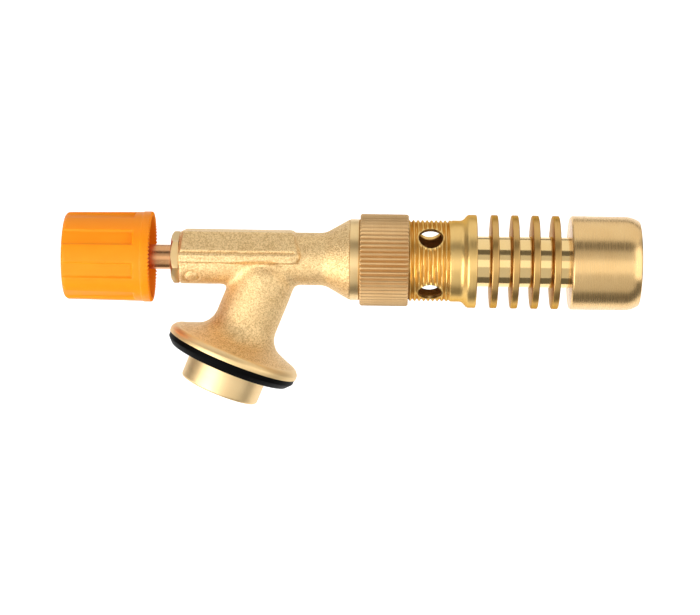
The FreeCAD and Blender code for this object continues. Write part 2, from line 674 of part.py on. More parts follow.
def make_grip_ring():
    """Nylon ring inside the collar that keeps its setting."""
    return turned_on_barrel("collar_grip_ring", [
        ("grip_ring_x", "collar_bore_radius - running_gap / 2"),
        ("grip_ring_x", "grip_groove_radius - running_gap / 2"),
        ("grip_ring_x + grip_ring_width", "grip_groove_radius - running_gap / 2"),
        ("grip_ring_x + grip_ring_width", "collar_bore_radius - running_gap / 2")])


def make_finned_neck():
    """Polished neck with cooling fins, bored as the mixing throat."""
    body = turned_on_barrel("finned_neck", [
        ("air_chamber_x", "neck_entry_radius"), ("air_chamber_x", "neck_thread_radius"),
        ("tube_front_x", "neck_thread_radius"), ("tube_front_x", "neck_radius"),
        ("neck_front_x", "neck_radius"), ("neck_front_x", "cup_thread_radius"),
        ("cup_floor_x", "cup_thread_radius"), ("cup_floor_x", "neck_throat_radius"),
        ("neck_throat_x", "neck_throat_radius")])
    ring = new_sketch(body, "fin_section", "YZ_Plane", lift="fin_first_x - fin_thick / 2")
    draw_circle(ring, "fin_radius")
    draw_circle(ring, "(neck_radius + neck_throat_radius) / 2")
    fin = extrude(body, "fin", ring, "Pad", "fin_thick")
    fins = body.newObject("PartDesign::LinearPattern", "fins")
    fins.Originals = [fin]
    fins.Direction = (datum(body, "X_Axis"), [""])
    fins.setExpression("Length", bound("fin_pitch * (fin_count - 1)"))
    fins.setExpression("Occurrences", bound("fin_count"))
    fin.Visibility = False
    body.Tip = fins
    doc.recompute()
    soften(body, "fin_edges", "Chamfer", "fin_chamfer",
           lambda edge: is_circle(edge, size_of("fin_radius")))
    return body


def make_burner_cup():
    """Burner cup screwed on the neck, with a rounded mouth."""
    return turned_on_barrel("burner_cup", [
        ("neck_front_x", "cup_thread_radius"), ("neck_front_x", "cup_radius - cup_chamfer"),
        ("neck_front_x + cup_chamfer", "cup_radius"), ("cup_front_x - cup_mouth_length", "cup_radius"),
        ("cup_front_x - cup_mouth_length / 3", "cup_radius - cup_mouth_drop / 3"),
        ("cup_front_x", "cup_radius - cup_mouth_drop"), ("cup_front_x", "cup_bore_radius"),
        ("cup_floor_x", "cup_bore_radius"), ("cup_floor_x", "cup_thread_radius")])


def make_spacer_ring():
    """Spacer that holds the gauze off the cup's floor."""
    return turned_on_barrel("gauze_spacer", [
        ("cup_floor_x", "spacer_bore_radius"), ("cup_floor_x", "cup_bore_radius"),
        ("gauze_back_x", "cup_bore_radius"), ("gauze_back_x", "spacer_bore_radius")])


def make_gauze():
    """Flashback gauze: a thin disc with openings on two circles."""
    body = turned_on_barrel("flashback_gauze", [
        ("gauze_back_x", "0"), ("gauze_back_x", "cup_bore_radius"),
        ("gauze_front_x", "cup_bore_radius"), ("gauze_front_x", "0")])
    for name, circle in [("inner", "gauze_hole_radius * 4"), ("outer", "gauze_hole_radius * 8")]:
        section = new_sketch(body, f"{name}_opening_section", "YZ_Plane", lift="gauze_back_x")
        draw_circle(section, "gauze_hole_radius", circle)
        cut = extrude(body, f"{name}_opening", section, "Pocket", "gauze_front_x - gauze_back_x",
                      back=True)
        repeat_round(body, cut, "pilot_count / 2" if name == "inner" else "pilot_count")
    return body


def make_flame_holder():
    """Flame holder: a centre port inside a ring of pilot ports."""
    body = turned_on_barrel("flame_holder", [
        ("gauze_front_x", "holder_port_radius"), ("gauze_front_x", "cup_bore_radius"),
        ("holder_front_x", "cup_bore_radius"), ("holder_front_x", "holder_port_radius")])
    port = new_sketch(body, "pilot_section", "YZ_Plane", lift="gauze_front_x")
    draw_circle(port, "pilot_radius", "pilot_ring_radius")
    cut = extrude(body, "pilot", port, "Pocket", "holder_front_x - gauze_front_x", back=True)
    repeat_round(body, cut, "pilot_count")
    return body


def make_adapter():
    """Canister adapter: the boss with the canister's thread, screwed into the inlet branch."""
    groove_low = "adapter_oring_z - adapter_half_groove"
    groove_high = "adapter_oring_z + adapter_half_groove"
    return turned_on_inlet("canister_adapter", [
        ("canister_thread_radius", "boss_mouth_z"), ("boss_radius - boss_chamfer", "boss_mouth_z"),
        ("boss_radius", "boss_mouth_z + boss_chamfer"), ("boss_radius", "seat_thick"),
        ("adapter_thread_radius", "seat_thick"), ("adapter_thread_radius", groove_low),
        ("adapter_groove_radius", groove_low), ("adapter_groove_radius", groove_high),
        ("adapter_thread_radius", groove_high), ("adapter_thread_radius", "adapter_top_z"),
        ("pin_radius", "adapter_top_z"), ("pin_radius", "pin_seat_z"),
        ("canister_oring_seat_radius", "pin_seat_z"),
        ("canister_oring_seat_radius", "thread_relief_z"),
        ("thread_relief_radius", "thread_relief_z"), ("thread_relief_radius", "canister_thread_z"),
        ("canister_thread_radius", "canister_thread_z")])


def make_adapter_oring():
    """O-ring that seals the adapter in the branch."""
    ring = o_ring("adapter_oring", "adapter_oring_mid", "adapter_oring_section")
    place_on_inlet(ring, "adapter_oring_z")
    return ring


def make_canister_oring():
    """O-ring that seals on the canister's valve."""
    ring = o_ring("canister_oring", "canister_oring_mid", "canister_oring_section")
    place_on_inlet(ring, "pin_seat_z - canister_oring_section")
    return ring


def make_depressor_pin():
    """Pin that opens the canister's valve, with flats that let the gas past."""
    body = turned_on_inlet("depressor_pin", [
        ("0", "pin_tip_z"), ("pin_tip_radius", "pin_tip_z"), ("pin_tip_radius", "pin_seat_z"),
        ("pin_radius", "pin_seat_z"), ("pin_radius", "pin_top_z"), ("0", "pin_top_z")])
    flat = new_sketch(body, "flat_section", "XY_Plane", lift="pin_seat_z")
    draw_polygon(flat, [
        ("pin_flat", "-pin_radius"), ("pin_radius * 2", "-pin_radius"), ("pin_radius * 2", "pin_radius"),
        ("pin_flat", "pin_radius")])
    cut = extrude(body, "flat", flat, "Pocket", back=True)
    repeat_round(body, cut, "pin_flat_count", axis="Z_Axis")
    return body


def make_inlet_filter():
    """Sintered bronze filter above the pin."""
    return turned_on_inlet("inlet_filter", [
        ("0", "pin_top_z"), ("pin_radius", "pin_top_z"), ("pin_radius", "adapter_top_z"),
        ("0", "adapter_top_z")])


def make_seat_washer():
    """Rubber washer that the canister's rim seats on."""
    return turned_on_inlet("seat_washer", [
        ("boss_radius", "0"), ("seat_washer_radius - seat_bevel", "0"),
        ("seat_washer_radius", "seat_bevel_z"), ("seat_washer_radius", "seat_thick"),
        ("boss_radius", "seat_thick")])


MAKERS = [
    make_valve_body, make_gland_nut, make_packing, make_spindle, make_spindle_oring, make_knob,
    make_knob_cap, make_knob_screw, make_jet, make_jet_filter, make_mixing_tube, make_air_collar,
    make_grip_ring, make_finned_neck, make_burner_cup, make_spacer_ring, make_gauze,
    make_flame_holder, make_adapter, make_adapter_oring, make_canister_oring, make_depressor_pin,
    make_inlet_filter, make_seat_washer,
]


def check_model(parts):
    """Stop if any object failed to recompute or any sub-part has no valid single solid."""
    doc.recompute()
    failed = [item.Label for item in doc.Objects if {"Invalid", "Error"} & set(item.State)]
    if failed:
        raise ValueError(f"objects that failed: {failed}")
    for part in parts:
        if part.Shape.isNull() or not part.Shape.isValid() or len(part.Shape.Solids) != 1:
            raise ValueError(f"{part.Label} is not one valid solid")


def write_parts(parts):
    """Write each sub-part to a file of its own name."""
    os.makedirs("parts", exist_ok=True)
    for part in parts:
        part.Shape.exportStep(f"parts/{part.Label}.step")
        box = part.Shape.BoundBox
        print(f"{part.Label:18} {part.Shape.Volume:9.1f} mm3   x {box.XMin:7.2f} to {box.XMax:7.2f}"
              f"   z {box.ZMin:7.2f} to {box.ZMax:7.2f}")


fill_sheet()
sub_parts = [make() for make in MAKERS]
check_model(sub_parts)
write_parts(sub_parts)
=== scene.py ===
# %% [markdown]
# # Lampwork torch
#
# This lesson builds the looks of a brass gas torch head round a finished CAD model. The CAD model says
# how big each part is and how it moves. Here each part gets the edges, threads, knurls and surfaces
# that the eye reads as brass, plastic and rubber. We start by loading the CAD model as a fixed frame.

# %% Load the frame
import json
import math

import bmesh
import bpy
from mathutils import Matrix, Vector


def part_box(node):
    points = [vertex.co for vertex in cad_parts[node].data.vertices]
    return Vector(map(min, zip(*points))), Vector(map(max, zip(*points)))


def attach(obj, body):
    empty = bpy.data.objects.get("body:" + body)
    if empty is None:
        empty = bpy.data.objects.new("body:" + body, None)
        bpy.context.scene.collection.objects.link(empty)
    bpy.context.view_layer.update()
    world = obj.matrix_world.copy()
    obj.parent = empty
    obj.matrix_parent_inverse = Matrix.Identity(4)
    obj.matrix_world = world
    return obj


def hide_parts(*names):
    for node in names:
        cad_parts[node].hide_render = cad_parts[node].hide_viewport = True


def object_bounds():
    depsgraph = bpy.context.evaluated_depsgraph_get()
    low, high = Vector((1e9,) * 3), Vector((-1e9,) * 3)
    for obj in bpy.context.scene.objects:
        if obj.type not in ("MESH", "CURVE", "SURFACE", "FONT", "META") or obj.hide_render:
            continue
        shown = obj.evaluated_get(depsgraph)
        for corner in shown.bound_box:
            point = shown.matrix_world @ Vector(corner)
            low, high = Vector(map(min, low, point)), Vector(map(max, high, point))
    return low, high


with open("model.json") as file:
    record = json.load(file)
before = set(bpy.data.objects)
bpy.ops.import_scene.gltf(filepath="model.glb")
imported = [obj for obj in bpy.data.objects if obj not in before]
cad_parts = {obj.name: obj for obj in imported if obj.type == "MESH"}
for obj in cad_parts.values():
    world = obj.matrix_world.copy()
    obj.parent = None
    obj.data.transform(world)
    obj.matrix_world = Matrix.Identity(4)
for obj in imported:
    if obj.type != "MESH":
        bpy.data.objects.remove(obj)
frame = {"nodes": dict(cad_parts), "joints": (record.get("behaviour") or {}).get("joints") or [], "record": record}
cad_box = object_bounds()

# %% [markdown]
# ## Two places to work in
#
# Nearly every part of the torch was turned on a lathe, about one of two axes: the barrel's, or the
# leaning inlet's. It is easiest to draw each part in millimetres with its axis along X, and to let one
# matrix carry it to its place. The valve's joint sits where the two axes cross, and the canister
# thread's mount gives the inlet's direction, so both matrices come from the frame.

# %% The barrel's and the inlet's places
MM = 0.001
valve_joint = next(joint for joint in frame["joints"] if joint["name"] == "valve_turn")
crossing = Vector(valve_joint["pos_m"])
canister_mount = next(mount for mount in frame["record"]["mounts"] if mount["name"] == "canister_thread")
inlet_up = -Vector(canister_mount["axis"])
inlet_tilt = math.atan2(inlet_up.x, inlet_up.z)
inlet_rise = crossing.length / MM

barrel_place = Matrix.Translation(crossing) @ Matrix.Scale(MM, 4)
inlet_turn = Matrix.Rotation(inlet_tilt - math.pi / 2, 4, "Y")
inlet_place = inlet_turn @ Matrix.Scale(MM, 4)
print(f"inlet leans {math.degrees(inlet_tilt):.1f} degrees, axes cross {inlet_rise:.1f} mm up it")


def span_mm(node):
    """Where a CAD node starts and ends along the barrel, in millimetres from the crossing."""
    low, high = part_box(node)
    return (low.x - crossing.x) / MM, (high.x - crossing.x) / MM


def radius_mm(node):
    """How far a CAD node reaches from the barrel's axis, in millimetres."""
    low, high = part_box(node)
    return (high.y - low.y) / 2 / MM


# %% [markdown]
# ## Turning on the lathe
#
# A lathe part is one half outline spun about an axis. The outline is a wire of a few corners; bevelling
# its corners first, while it is still a wire, gives every ring on the part its small radius at once,
# which is how a turner breaks each edge with the tool. A third number at a corner is that radius.

# %% A lathe
FINE_EDGE = 0.12


def wire_outline(corners):
    """Draw the closed half outline as a wire in the XZ plane and round its corners."""
    bm = bmesh.new()
    verts = [bm.verts.new((corner[0], 0, corner[1])) for corner in corners]
    for start, end in zip(verts, verts[1:] + verts[:1]):
        bm.edges.new((start, end))
    roundings = [corner[2] if len(corner) > 2 else 0 for corner in corners]
    for rounding in sorted(set(roundings) - {0}):
        chosen = [vert for vert, value in zip(verts, roundings) if value == rounding]
        bmesh.ops.bevel(bm, geom=chosen, offset=rounding, offset_type="OFFSET", segments=4,
                        profile=0.5, affect="VERTICES", material=-1)
    return bm


def spin_round(bm, steps):
    """Spin the wire about X and close the skin."""
    bmesh.ops.spin(bm, geom=bm.verts[:] + bm.edges[:], cent=(0, 0, 0), axis=(1, 0, 0),
                   dvec=(0, 0, 0), angle=math.tau, steps=steps, use_merge=True)
    bmesh.ops.remove_doubles(bm, verts=bm.verts, dist=0.002)
    bmesh.ops.recalc_face_normals(bm, faces=bm.faces)
    return bm


def lathe(corners, steps=128):
    """Turn a closed outline into a solid of revolution about X."""
    return spin_round(wire_outline(corners), steps)


# %% [markdown]
# ## From a bmesh to a finished piece
#
# Every piece ends the same way. It is carried to its place, its faces are shaded smooth with a crease
# wherever the surface turns sharply, and it is tied to the CAD body that it moves with. The plain CAD
# parts that it stands for are hidden.

# %% Finish a piece
CREASE = math.radians(38)
made = []


def finish_piece(bm, name, place, body, material, nodes=(), crease=CREASE):
    """Make the object, shade it, give it its finish, tie it to its body and hide the CAD nodes it stands for."""
    bm.transform(place)
    mesh = bpy.data.meshes.new(name)
    bm.to_mesh(mesh)
    bm.free()
    mesh.shade_smooth()
    mesh.set_sharp_from_angle(angle=crease)
    piece = bpy.data.objects.new(name, mesh)
    bpy.context.scene.collection.objects.link(piece)
    mesh.materials.append(material)
    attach(piece, body)
    if nodes:
        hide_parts(*nodes)
    made.append(name)
    print(f"{name}: {len(mesh.polygons)} faces")
    return piece


def temporary_object(bm):
    """Put a bmesh in the scene for a modifier to use."""
    mesh = bpy.data.meshes.new("temporary")
    bm.to_mesh(mesh)
    bm.free()
    holder = bpy.data.objects.new("temporary", mesh)
    bpy.context.scene.collection.objects.link(holder)
    return holder


def take_result(holder):
    """Read an object with its modifiers applied back into a bmesh, and clear it away."""
    evaluated = holder.evaluated_get(bpy.context.evaluated_depsgraph_get())
    mesh = bpy.data.meshes.new_from_object(evaluated)
    bm = bmesh.new()
    bm.from_mesh(mesh)
    bpy.data.meshes.remove(mesh)
    bpy.data.objects.remove(holder)
    return bm


def carve(bm, tool_bm, operation="DIFFERENCE"):
    """Cut one solid with another, or keep what they share."""
    holder, tool = temporary_object(bm), temporary_object(tool_bm)
    cut = holder.modifiers.new("cut", "BOOLEAN")
    cut.operation = operation
    cut.solver = "EXACT"
    cut.object = tool
    result = take_result(holder)
    bpy.data.objects.remove(tool)
    return result


# %% [markdown]
# ## Colours and nodes
#
# Colours are easiest to name as sRGB hex values, as a paint chart does, but the shader works in linear
# light, so one function converts them. A second small function adds a node, sets its values and links
# its inputs. The materials below are built from these two.

# %% Helpers for materials
def linear(hex_colour):
    """Turn an sRGB hex colour into linear RGBA."""
    channels = [int(hex_colour[i:i + 2], 16) / 255 for i in (1, 3, 5)]
    return [c / 12.92 if c <= 0.04045 else ((c + 0.055) / 1.055) ** 2.4 for c in channels] + [1.0]


def plug(tree, node, inputs):
    """Set a node's inputs. Each takes a value, a socket, or a node, whose output in use is linked."""
    for name, value in inputs.items():
        if isinstance(value, bpy.types.Node):
            value = next(output for output in value.outputs if output.enabled)
        if isinstance(value, bpy.types.NodeSocket):
            tree.links.new(value, node.inputs[name])
        else:
            node.inputs[name].default_value = value


def add(tree, kind, inputs=None, **settings):
    """Add a node with its settings and its inputs."""
    node = tree.nodes.new(kind)
    for key, value in settings.items():
        setattr(node, key, value)
    plug(tree, node, inputs or {})
    return node


def new_material(name):
    """Start a material: its tree, its shader and the object's own coordinates in millimetres."""
    material = bpy.data.materials.new(name)
    material.use_nodes = True
    tree = material.node_tree
    coordinates = add(tree, "ShaderNodeTexCoord").outputs["Object"]
    in_mm = add(tree, "ShaderNodeVectorMath", {0: coordinates, "Scale": 1 / MM}, operation="SCALE")
    return material, tree, tree.nodes["Principled BSDF"], in_mm


# %% [markdown]
# ## The torch's materials
#
# Brass is one alloy, but each way of working it leaves a different skin. Sand-blasting a forging gives
# fine even pits that scatter the light, a lathe tool leaves rings, a buffing wheel leaves a soft mirror,
# and a knurling wheel leaves raw ridges that darken first. The colour of a metal is the colour of its
# reflection, so every brass here has metallic at 1 and keeps the default IOR, and the skins differ in
# roughness, in bump and a little in colour.

# %% Sand-blasted forged brass
BLAST_PIT_MM = 0.29
GLINT_MM = 0.24
CLOUD_MM = 5.0


def sand_blasted_brass(name, pale, deep, pit_shade_colour, pit_depth_mm):
    """Forged brass after blasting. Its even pits leave a soft wide highlight; a fine glitter and the shade in its
    pits are painted into its colour.
    """
    material, tree, shader, in_mm = new_material(name)
    cloud = add(tree, "ShaderNodeTexNoise", {"Vector": in_mm, "Scale": 1 / CLOUD_MM, "Detail": 3.0})
    colour = add(tree, "ShaderNodeMix", {0: cloud, 6: linear(pale), 7: linear(deep)}, data_type="RGBA")
    pits = add(tree, "ShaderNodeTexNoise",
               {"Vector": in_mm, "Scale": 1 / BLAST_PIT_MM, "Detail": 2.0, "Roughness": 0.6})
    # Random cells are darkened towards the pit colour: painted shade in the pits and painted glint across the
    # facets.
    glints = add(tree, "ShaderNodeTexVoronoi", {"Vector": in_mm, "Scale": 1 / GLINT_MM})
    pit_shade = add(tree, "ShaderNodeMapRange",
                    {"Value": glints.outputs["Color"], "From Min": 0.15, "From Max": 0.7, "To Min": 0.55,
                     "To Max": 0.0})
    spotted = add(tree, "ShaderNodeMix", {0: pit_shade, 6: colour, 7: linear(pit_shade_colour)},
                  data_type="RGBA")
    rough = add(tree, "ShaderNodeMapRange",
                {"Value": pits, "From Min": 0.3, "From Max": 0.7, "To Min": 0.60, "To Max": 0.42})
    skin = add(tree, "ShaderNodeBump", {"Height": pits, "Distance": pit_depth_mm * MM, "Strength": 1.0})
    plug(tree, shader, {"Base Color": spotted, "Metallic": 1.0, "Roughness": rough, "Normal": skin})
    return material


blasted = sand_blasted_brass("sand_blasted_forged_brass", "#FEE2AC", "#F5D399", "#AE7A38", 0.15)

# %% [markdown]
# Turned brass shows the tool's path as rings round the axis. In Object coordinates the barrel's axis
# lies along X, so a noise that is stretched hugely across Y and Z and fine along X draws those rings on
# any barrel part. The inlet's boss needs the same rings about its own axis, so a Mapping node turns the
# pattern first.

# %% Turned, polished and brushed metal
TOOL_FEED_MM = 0.16
RING_STRETCH = 0.02


def turned_metal(name, pale, deep, feed_mm, ring_depth_mm, rough_low, rough_high, turn=0.0,
                 bore_mm=0.0, bore_shade_colour="#B8834A", grazing="#FFFFFF"):
    """Metal turned or brushed round its axis. The rings' depth sets how much they spread the light.

    Nearer the barrel's axis than bore_mm it is rougher and painted darker, as painted shade inside the bore.
    The grazing colour darkens the reflection at the limbs, as painted shade that keeps them from whitening.
    """
    material, tree, shader, in_mm = new_material(name)
    cloud = add(tree, "ShaderNodeTexNoise", {"Vector": in_mm, "Scale": 1 / CLOUD_MM, "Detail": 4.0})
    colour = add(tree, "ShaderNodeMix", {0: cloud, 6: linear(pale), 7: linear(deep)}, data_type="RGBA")
    turned = add(tree, "ShaderNodeMapping", {"Vector": in_mm, "Rotation": (0, turn, 0)})
    stretched = add(tree, "ShaderNodeVectorMath", {0: turned, 1: (1.0, RING_STRETCH, RING_STRETCH)},
                    operation="MULTIPLY")
    rings = add(tree, "ShaderNodeTexNoise",
                {"Vector": stretched, "Scale": 1 / feed_mm, "Detail": 3.0, "Roughness": 0.6})
    rough = add(tree, "ShaderNodeMapRange",
                {"Value": rings, "From Min": 0.3, "From Max": 0.7, "To Min": rough_low,
                 "To Max": rough_high})
    skin = add(tree, "ShaderNodeBump", {"Height": rings, "Distance": ring_depth_mm * MM, "Strength": 1.0})
    across = add(tree, "ShaderNodeVectorMath", {0: in_mm, 1: tuple(crossing / MM)}, operation="SUBTRACT")
    flat = add(tree, "ShaderNodeVectorMath", {0: across, 1: (0, 1, 1)}, operation="MULTIPLY")
    radius = add(tree, "ShaderNodeVectorMath", {0: flat}, operation="LENGTH")
    # Inside the bore radius the colour turns darker: painted shade where little light gets in.
    in_shaded_bore = add(tree, "ShaderNodeMath", {0: radius, 1: bore_mm}, operation="LESS_THAN")
    shade = add(tree, "ShaderNodeMix", {0: in_shaded_bore, 6: colour, 7: linear(bore_shade_colour)}, data_type="RGBA")
    rougher = add(tree, "ShaderNodeMath", {0: in_shaded_bore, 1: 0.3, 2: rough}, operation="MULTIPLY_ADD")
    # Specular Tint takes the grazing colour: painted shade on the reflection at the limbs.
    plug(tree, shader, {"Base Color": shade, "Metallic": 1.0, "Roughness": rougher, "Normal": skin,
                        "Specular Tint": linear(grazing)})
    return material


inlet_pattern_turn = math.pi / 2 - inlet_tilt
threaded = turned_metal("thread_cut_brass", "#F0CC86", "#E4B96C", TOOL_FEED_MM, 0.004, 0.28, 0.42,
                        bore_mm=8.1, grazing="#D2B68C")
shouldered = turned_metal("faced_brass", "#F3D59E", "#E8C487", TOOL_FEED_MM, 0.006, 0.30, 0.42)
rim_turned = turned_metal("turned_rim_brass", "#F6D8A4", "#ECCB90", TOOL_FEED_MM, 0.004, 0.44, 0.54)
boss_turned = turned_metal("fine_turned_brass", "#F9DCA8", "#F1CF96", TOOL_FEED_MM, 0.004, 0.40, 0.50,
                           turn=inlet_pattern_turn)
polished = turned_metal("buffed_brass", "#F6D89C", "#ECC784", 0.5, 0.001, 0.09, 0.16)
brushed = turned_metal("brushed_brass", "#EDCA90", "#DFB578", 0.12, 0.010, 0.22, 0.34)
knurled = turned_metal("raw_knurled_brass", "#DEBB88", "#CDA571", 0.3, 0.008, 0.42, 0.55)
# The stem's brass is tinted copper-orange: painted reflection of the orange knob.
drawn = turned_metal("drawn_stem_brass_painted_reflection", "#DDA878", "#CC9463", TOOL_FEED_MM, 0.002, 0.18, 0.28)
# The fins' brass is darker than the neck's: painted shade for the darker surroundings that the fins reflect.
fin_brass_painted_shade = turned_metal("turned_fin_brass_painted_shade", "#D8B070", "#C59A58", TOOL_FEED_MM, 0.006, 0.26, 0.38,
                          grazing="#D2B68C")
plain_turned = turned_metal("turned_brass", "#E8C07A", "#DCAE62", TOOL_FEED_MM, 0.004, 0.22, 0.34)
stainless = turned_metal("turned_stainless_steel", "#B9B7B2", "#A6A39D", 0.1, 0.003, 0.26, 0.40)

# %% [markdown]
# The knob is moulded in bright orange plastic, probably polypropylene or ABS. A little light gets under
# its skin, which keeps its shadows warm, and the mould's satin finish breaks up the highlight. A very
# fine noise stands for that satin. The seals are moulded too, so they share the function.

# %% Orange plastic, rubber and seals
def moulded(name, main, second, roughness, grain_mm, grain_depth_mm, under_skin=0.0, gloss=0.5):
    """Moulded plastic or rubber with the satin of its mould, and some light let under its skin."""
    material, tree, shader, in_mm = new_material(name)
    cloud = add(tree, "ShaderNodeTexNoise", {"Vector": in_mm, "Scale": 1 / CLOUD_MM, "Detail": 2.0})
    colour = add(tree, "ShaderNodeMix", {0: cloud, 6: linear(main), 7: linear(second)}, data_type="RGBA")
    grain = add(tree, "ShaderNodeTexNoise", {"Vector": in_mm, "Scale": 1 / grain_mm, "Detail": 2.0})
    rough = add(tree, "ShaderNodeMapRange",
                {"Value": grain, "From Min": 0.3, "From Max": 0.7, "To Min": roughness - 0.04,
                 "To Max": roughness + 0.06})
    skin = add(tree, "ShaderNodeBump", {"Height": grain, "Distance": grain_depth_mm * MM, "Strength": 1.0})
    plug(tree, shader, {"Base Color": colour, "Roughness": rough, "IOR": 1.49, "Normal": skin,
                        "Specular IOR Level": gloss,
                        "Subsurface Weight": under_skin, "Subsurface Radius": (1.0, 0.35, 0.12),
                        "Subsurface Scale": 1.2 * MM})
    return material


orange = moulded("orange_moulded_plastic", "#FF9814", "#FF8E0C", 0.42, 0.25, 0.004, under_skin=0.15,
                 gloss=0.2)
fluoropolymer = moulded("white_ptfe", "#F2F1EC", "#E9E8E2", 0.5, 0.2, 0.004)
natural_nylon = moulded("natural_nylon", "#E4DCC4", "#D9CFB4", 0.42, 0.2, 0.004)
nitrile = moulded("black_nitrile_rubber", "#030303", "#070707", 0.46, 0.12, 0.004, gloss=0.04)

# %% [markdown]
# The filters are sintered bronze: small balls pressed together until they stick. Voronoi cells with
# rounded tops, one per ball, are the natural pattern for that.

# %% Sintered bronze
SINTER_BALL_MM = 0.3


def sintered_bronze():
    """Bronze balls sintered together: painted shade in the gaps between balls and painted highlight on their
    rounded tops.
    """
    material, tree, shader, in_mm = new_material("sintered_bronze")
    balls = add(tree, "ShaderNodeTexVoronoi", {"Vector": in_mm, "Scale": 1 / SINTER_BALL_MM})
    # Colour darkens from each ball's middle out to the gaps: painted shade between the balls and painted highlight
    # on their tops.
    colour = add(tree, "ShaderNodeMix", {0: balls, 6: linear("#B98548"), 7: linear("#4A3018")},
                 data_type="RGBA")
    rounded = add(tree, "ShaderNodeMath", {0: 1.0, 1: balls}, operation="SUBTRACT")
    skin = add(tree, "ShaderNodeBump",
               {"Height": rounded, "Distance": SINTER_BALL_MM / 3 * MM, "Strength": 1.0})
    plug(tree, shader, {"Base Color": colour, "Metallic": 1.0, "Roughness": 0.45, "Normal": skin})
    return material


bronze = sintered_bronze()

# %% [markdown]
# ## Finishes for the CAD parts that keep their shape
#
# The small inner parts have the right shape already, so they keep their CAD mesh and only get a
# finish. Each is looked up by its node's name.

# %% Dress the CAD parts
cad_finishes = {
    "gland_packing": fluoropolymer, "spindle_oring": nitrile, "knob_screw": stainless,
    "gas_jet": plain_turned, "jet_filter": bronze, "collar_grip_ring": natural_nylon,
    "gauze_spacer": plain_turned, "flashback_gauze": stainless, "adapter_oring": nitrile,
    "canister_oring": nitrile, "depressor_pin": plain_turned, "inlet_filter": bronze,
}
for node, material in cad_finishes.items():
    slots = frame["nodes"][node].data.materials
    slots.clear()
    slots.append(material)
print("CAD parts dressed:", len(cad_finishes))

# %% [markdown]
# ## The forged valve body
#
# The body is one forging: a round barrel whose upper half is hexagonal, a rib along each side, a short
# neck that opens into a cone, and an inlet branch that ends in a trumpet-shaped flange. Forged metal has
# no sharp inner corners, because it has to flow out of its die. We overlap simple solids, let a voxel
# remesh weld them into one skin, and smooth the skin most where the branch and the slab's end run into
# the barrel. That gives the soft fillets that bevels on a crossing of two cylinders seldom manage.

# %% Sizes of the forging
barrel_radius = 5.85
nut_back, nut_front = span_mm("gland_nut")
nut_thick = 1.7
body_back = nut_back + nut_thick
shoulder_back, shoulder_front = 17.3, 19.4
shoulder_radius = radius_mm("air_collar") - 1.2
neck_front = 11.8
slab_top, slab_flat, slab_waist, slab_low = 6.1, 4.4, 6.95, 0.35
rib_side, rib_low, rib_high, rib_front = 7.3, -0.5, 1.55, 6.0
slab_back_low, slab_back_high = -20.3, -19.6
slab_front_low, slab_front_high = 6.9, 4.9
branch_radius, branch_dome, branch_rise = 7.0, 5.6, 1.2
flare_rise, slope_rise, slope_radius = 7.3, 4.2, 14.45
rim_radius, rim_thick, washer_thick = 15.1, 1.0, 2.4
slab_long_round, slab_end_round, rib_end_round = 0.45, 1.0, 1.4
VOXEL_MM = 0.25
print(f"forging runs from {body_back:.1f} to {shoulder_back:.1f} mm")


# %% Rough solids of the forging
def prism(section, start, end):
    """Extrude a section, drawn as (y, z) points, along X."""
    bm = bmesh.new()
    verts = [bm.verts.new((start, y, z)) for y, z in section]
    face = bm.faces.new(verts)
    moved = bmesh.ops.extrude_face_region(bm, geom=[face])
    front = [item for item in moved["geom"] if isinstance(item, bmesh.types.BMVert)]
    bmesh.ops.translate(bm, verts=front, vec=(end - start, 0, 0))
    bmesh.ops.recalc_face_normals(bm, faces=bm.faces)
    return bm


def join(target, *others):
    """Add other bmeshes to the first one."""
    for other in others:
        mesh = bpy.data.meshes.new("joined")
        other.to_mesh(mesh)
        other.free()
        target.from_mesh(mesh)
        bpy.data.meshes.remove(mesh)
    return target


def forged_barrel():
    """Barrel, neck and cone, up to the machined shoulder."""
    return lathe([(body_back, 0), (body_back, barrel_radius, 0.5), (neck_front, barrel_radius, 0.9),
                  (shoulder_back, shoulder_radius), (shoulder_back, 0)], steps=144)


def forged_slab():
    """Hexagonal upper half. Its ends lean, so each ring of points is sheared."""
    slab = prism([(-slab_waist, slab_low), (slab_waist, slab_low), (slab_waist, rib_high),
                  (slab_flat, slab_top), (-slab_flat, slab_top), (-slab_waist, rib_high)],
                 slab_back_low, slab_front_low)
    for vert in slab.verts:
        lean = slab_front_high - slab_front_low if vert.co.x > 0 else slab_back_high - slab_back_low
        vert.co.x += lean * (vert.co.z - rib_low) / (slab_top - rib_low)
    long_edges = [edge for edge in slab.edges
                  if abs(edge.verts[0].co.x - edge.verts[1].co.x) > slab_top
                  and edge.verts[0].co.z > rib_high - 1]
    bmesh.ops.bevel(slab, geom=long_edges, offset=slab_long_round, offset_type="OFFSET", segments=4,
                    profile=0.5, affect="EDGES", material=-1)
    front_edges = [edge for edge in slab.edges if all(vert.co.x > 0 for vert in edge.verts)
                   and not edge.is_boundary and edge.calc_face_angle(0) > math.radians(60)
                   and min(vert.co.z for vert in edge.verts) > rib_low]
    bmesh.ops.bevel(slab, geom=front_edges, offset=slab_end_round, offset_type="OFFSET", segments=5,
                    profile=0.5, affect="EDGES", material=-1, clamp_overlap=True)
    return slab


def forged_rib():
    """Rib along both sides, rounded at its front end."""
    rib = prism([(-rib_side, rib_low), (rib_side, rib_low), (rib_side, rib_high), (-rib_side, rib_high)],
                slab_back_low, rib_front)
    corners = [edge for edge in rib.edges if all(vert.co.x > 0 for vert in edge.verts)
               and abs(edge.verts[0].co.z - edge.verts[1].co.z) > 0.1]
    bmesh.ops.bevel(rib, geom=corners, offset=rib_end_round, offset_type="OFFSET", segments=6,
                    profile=0.5, affect="EDGES", material=-1)
    return rib


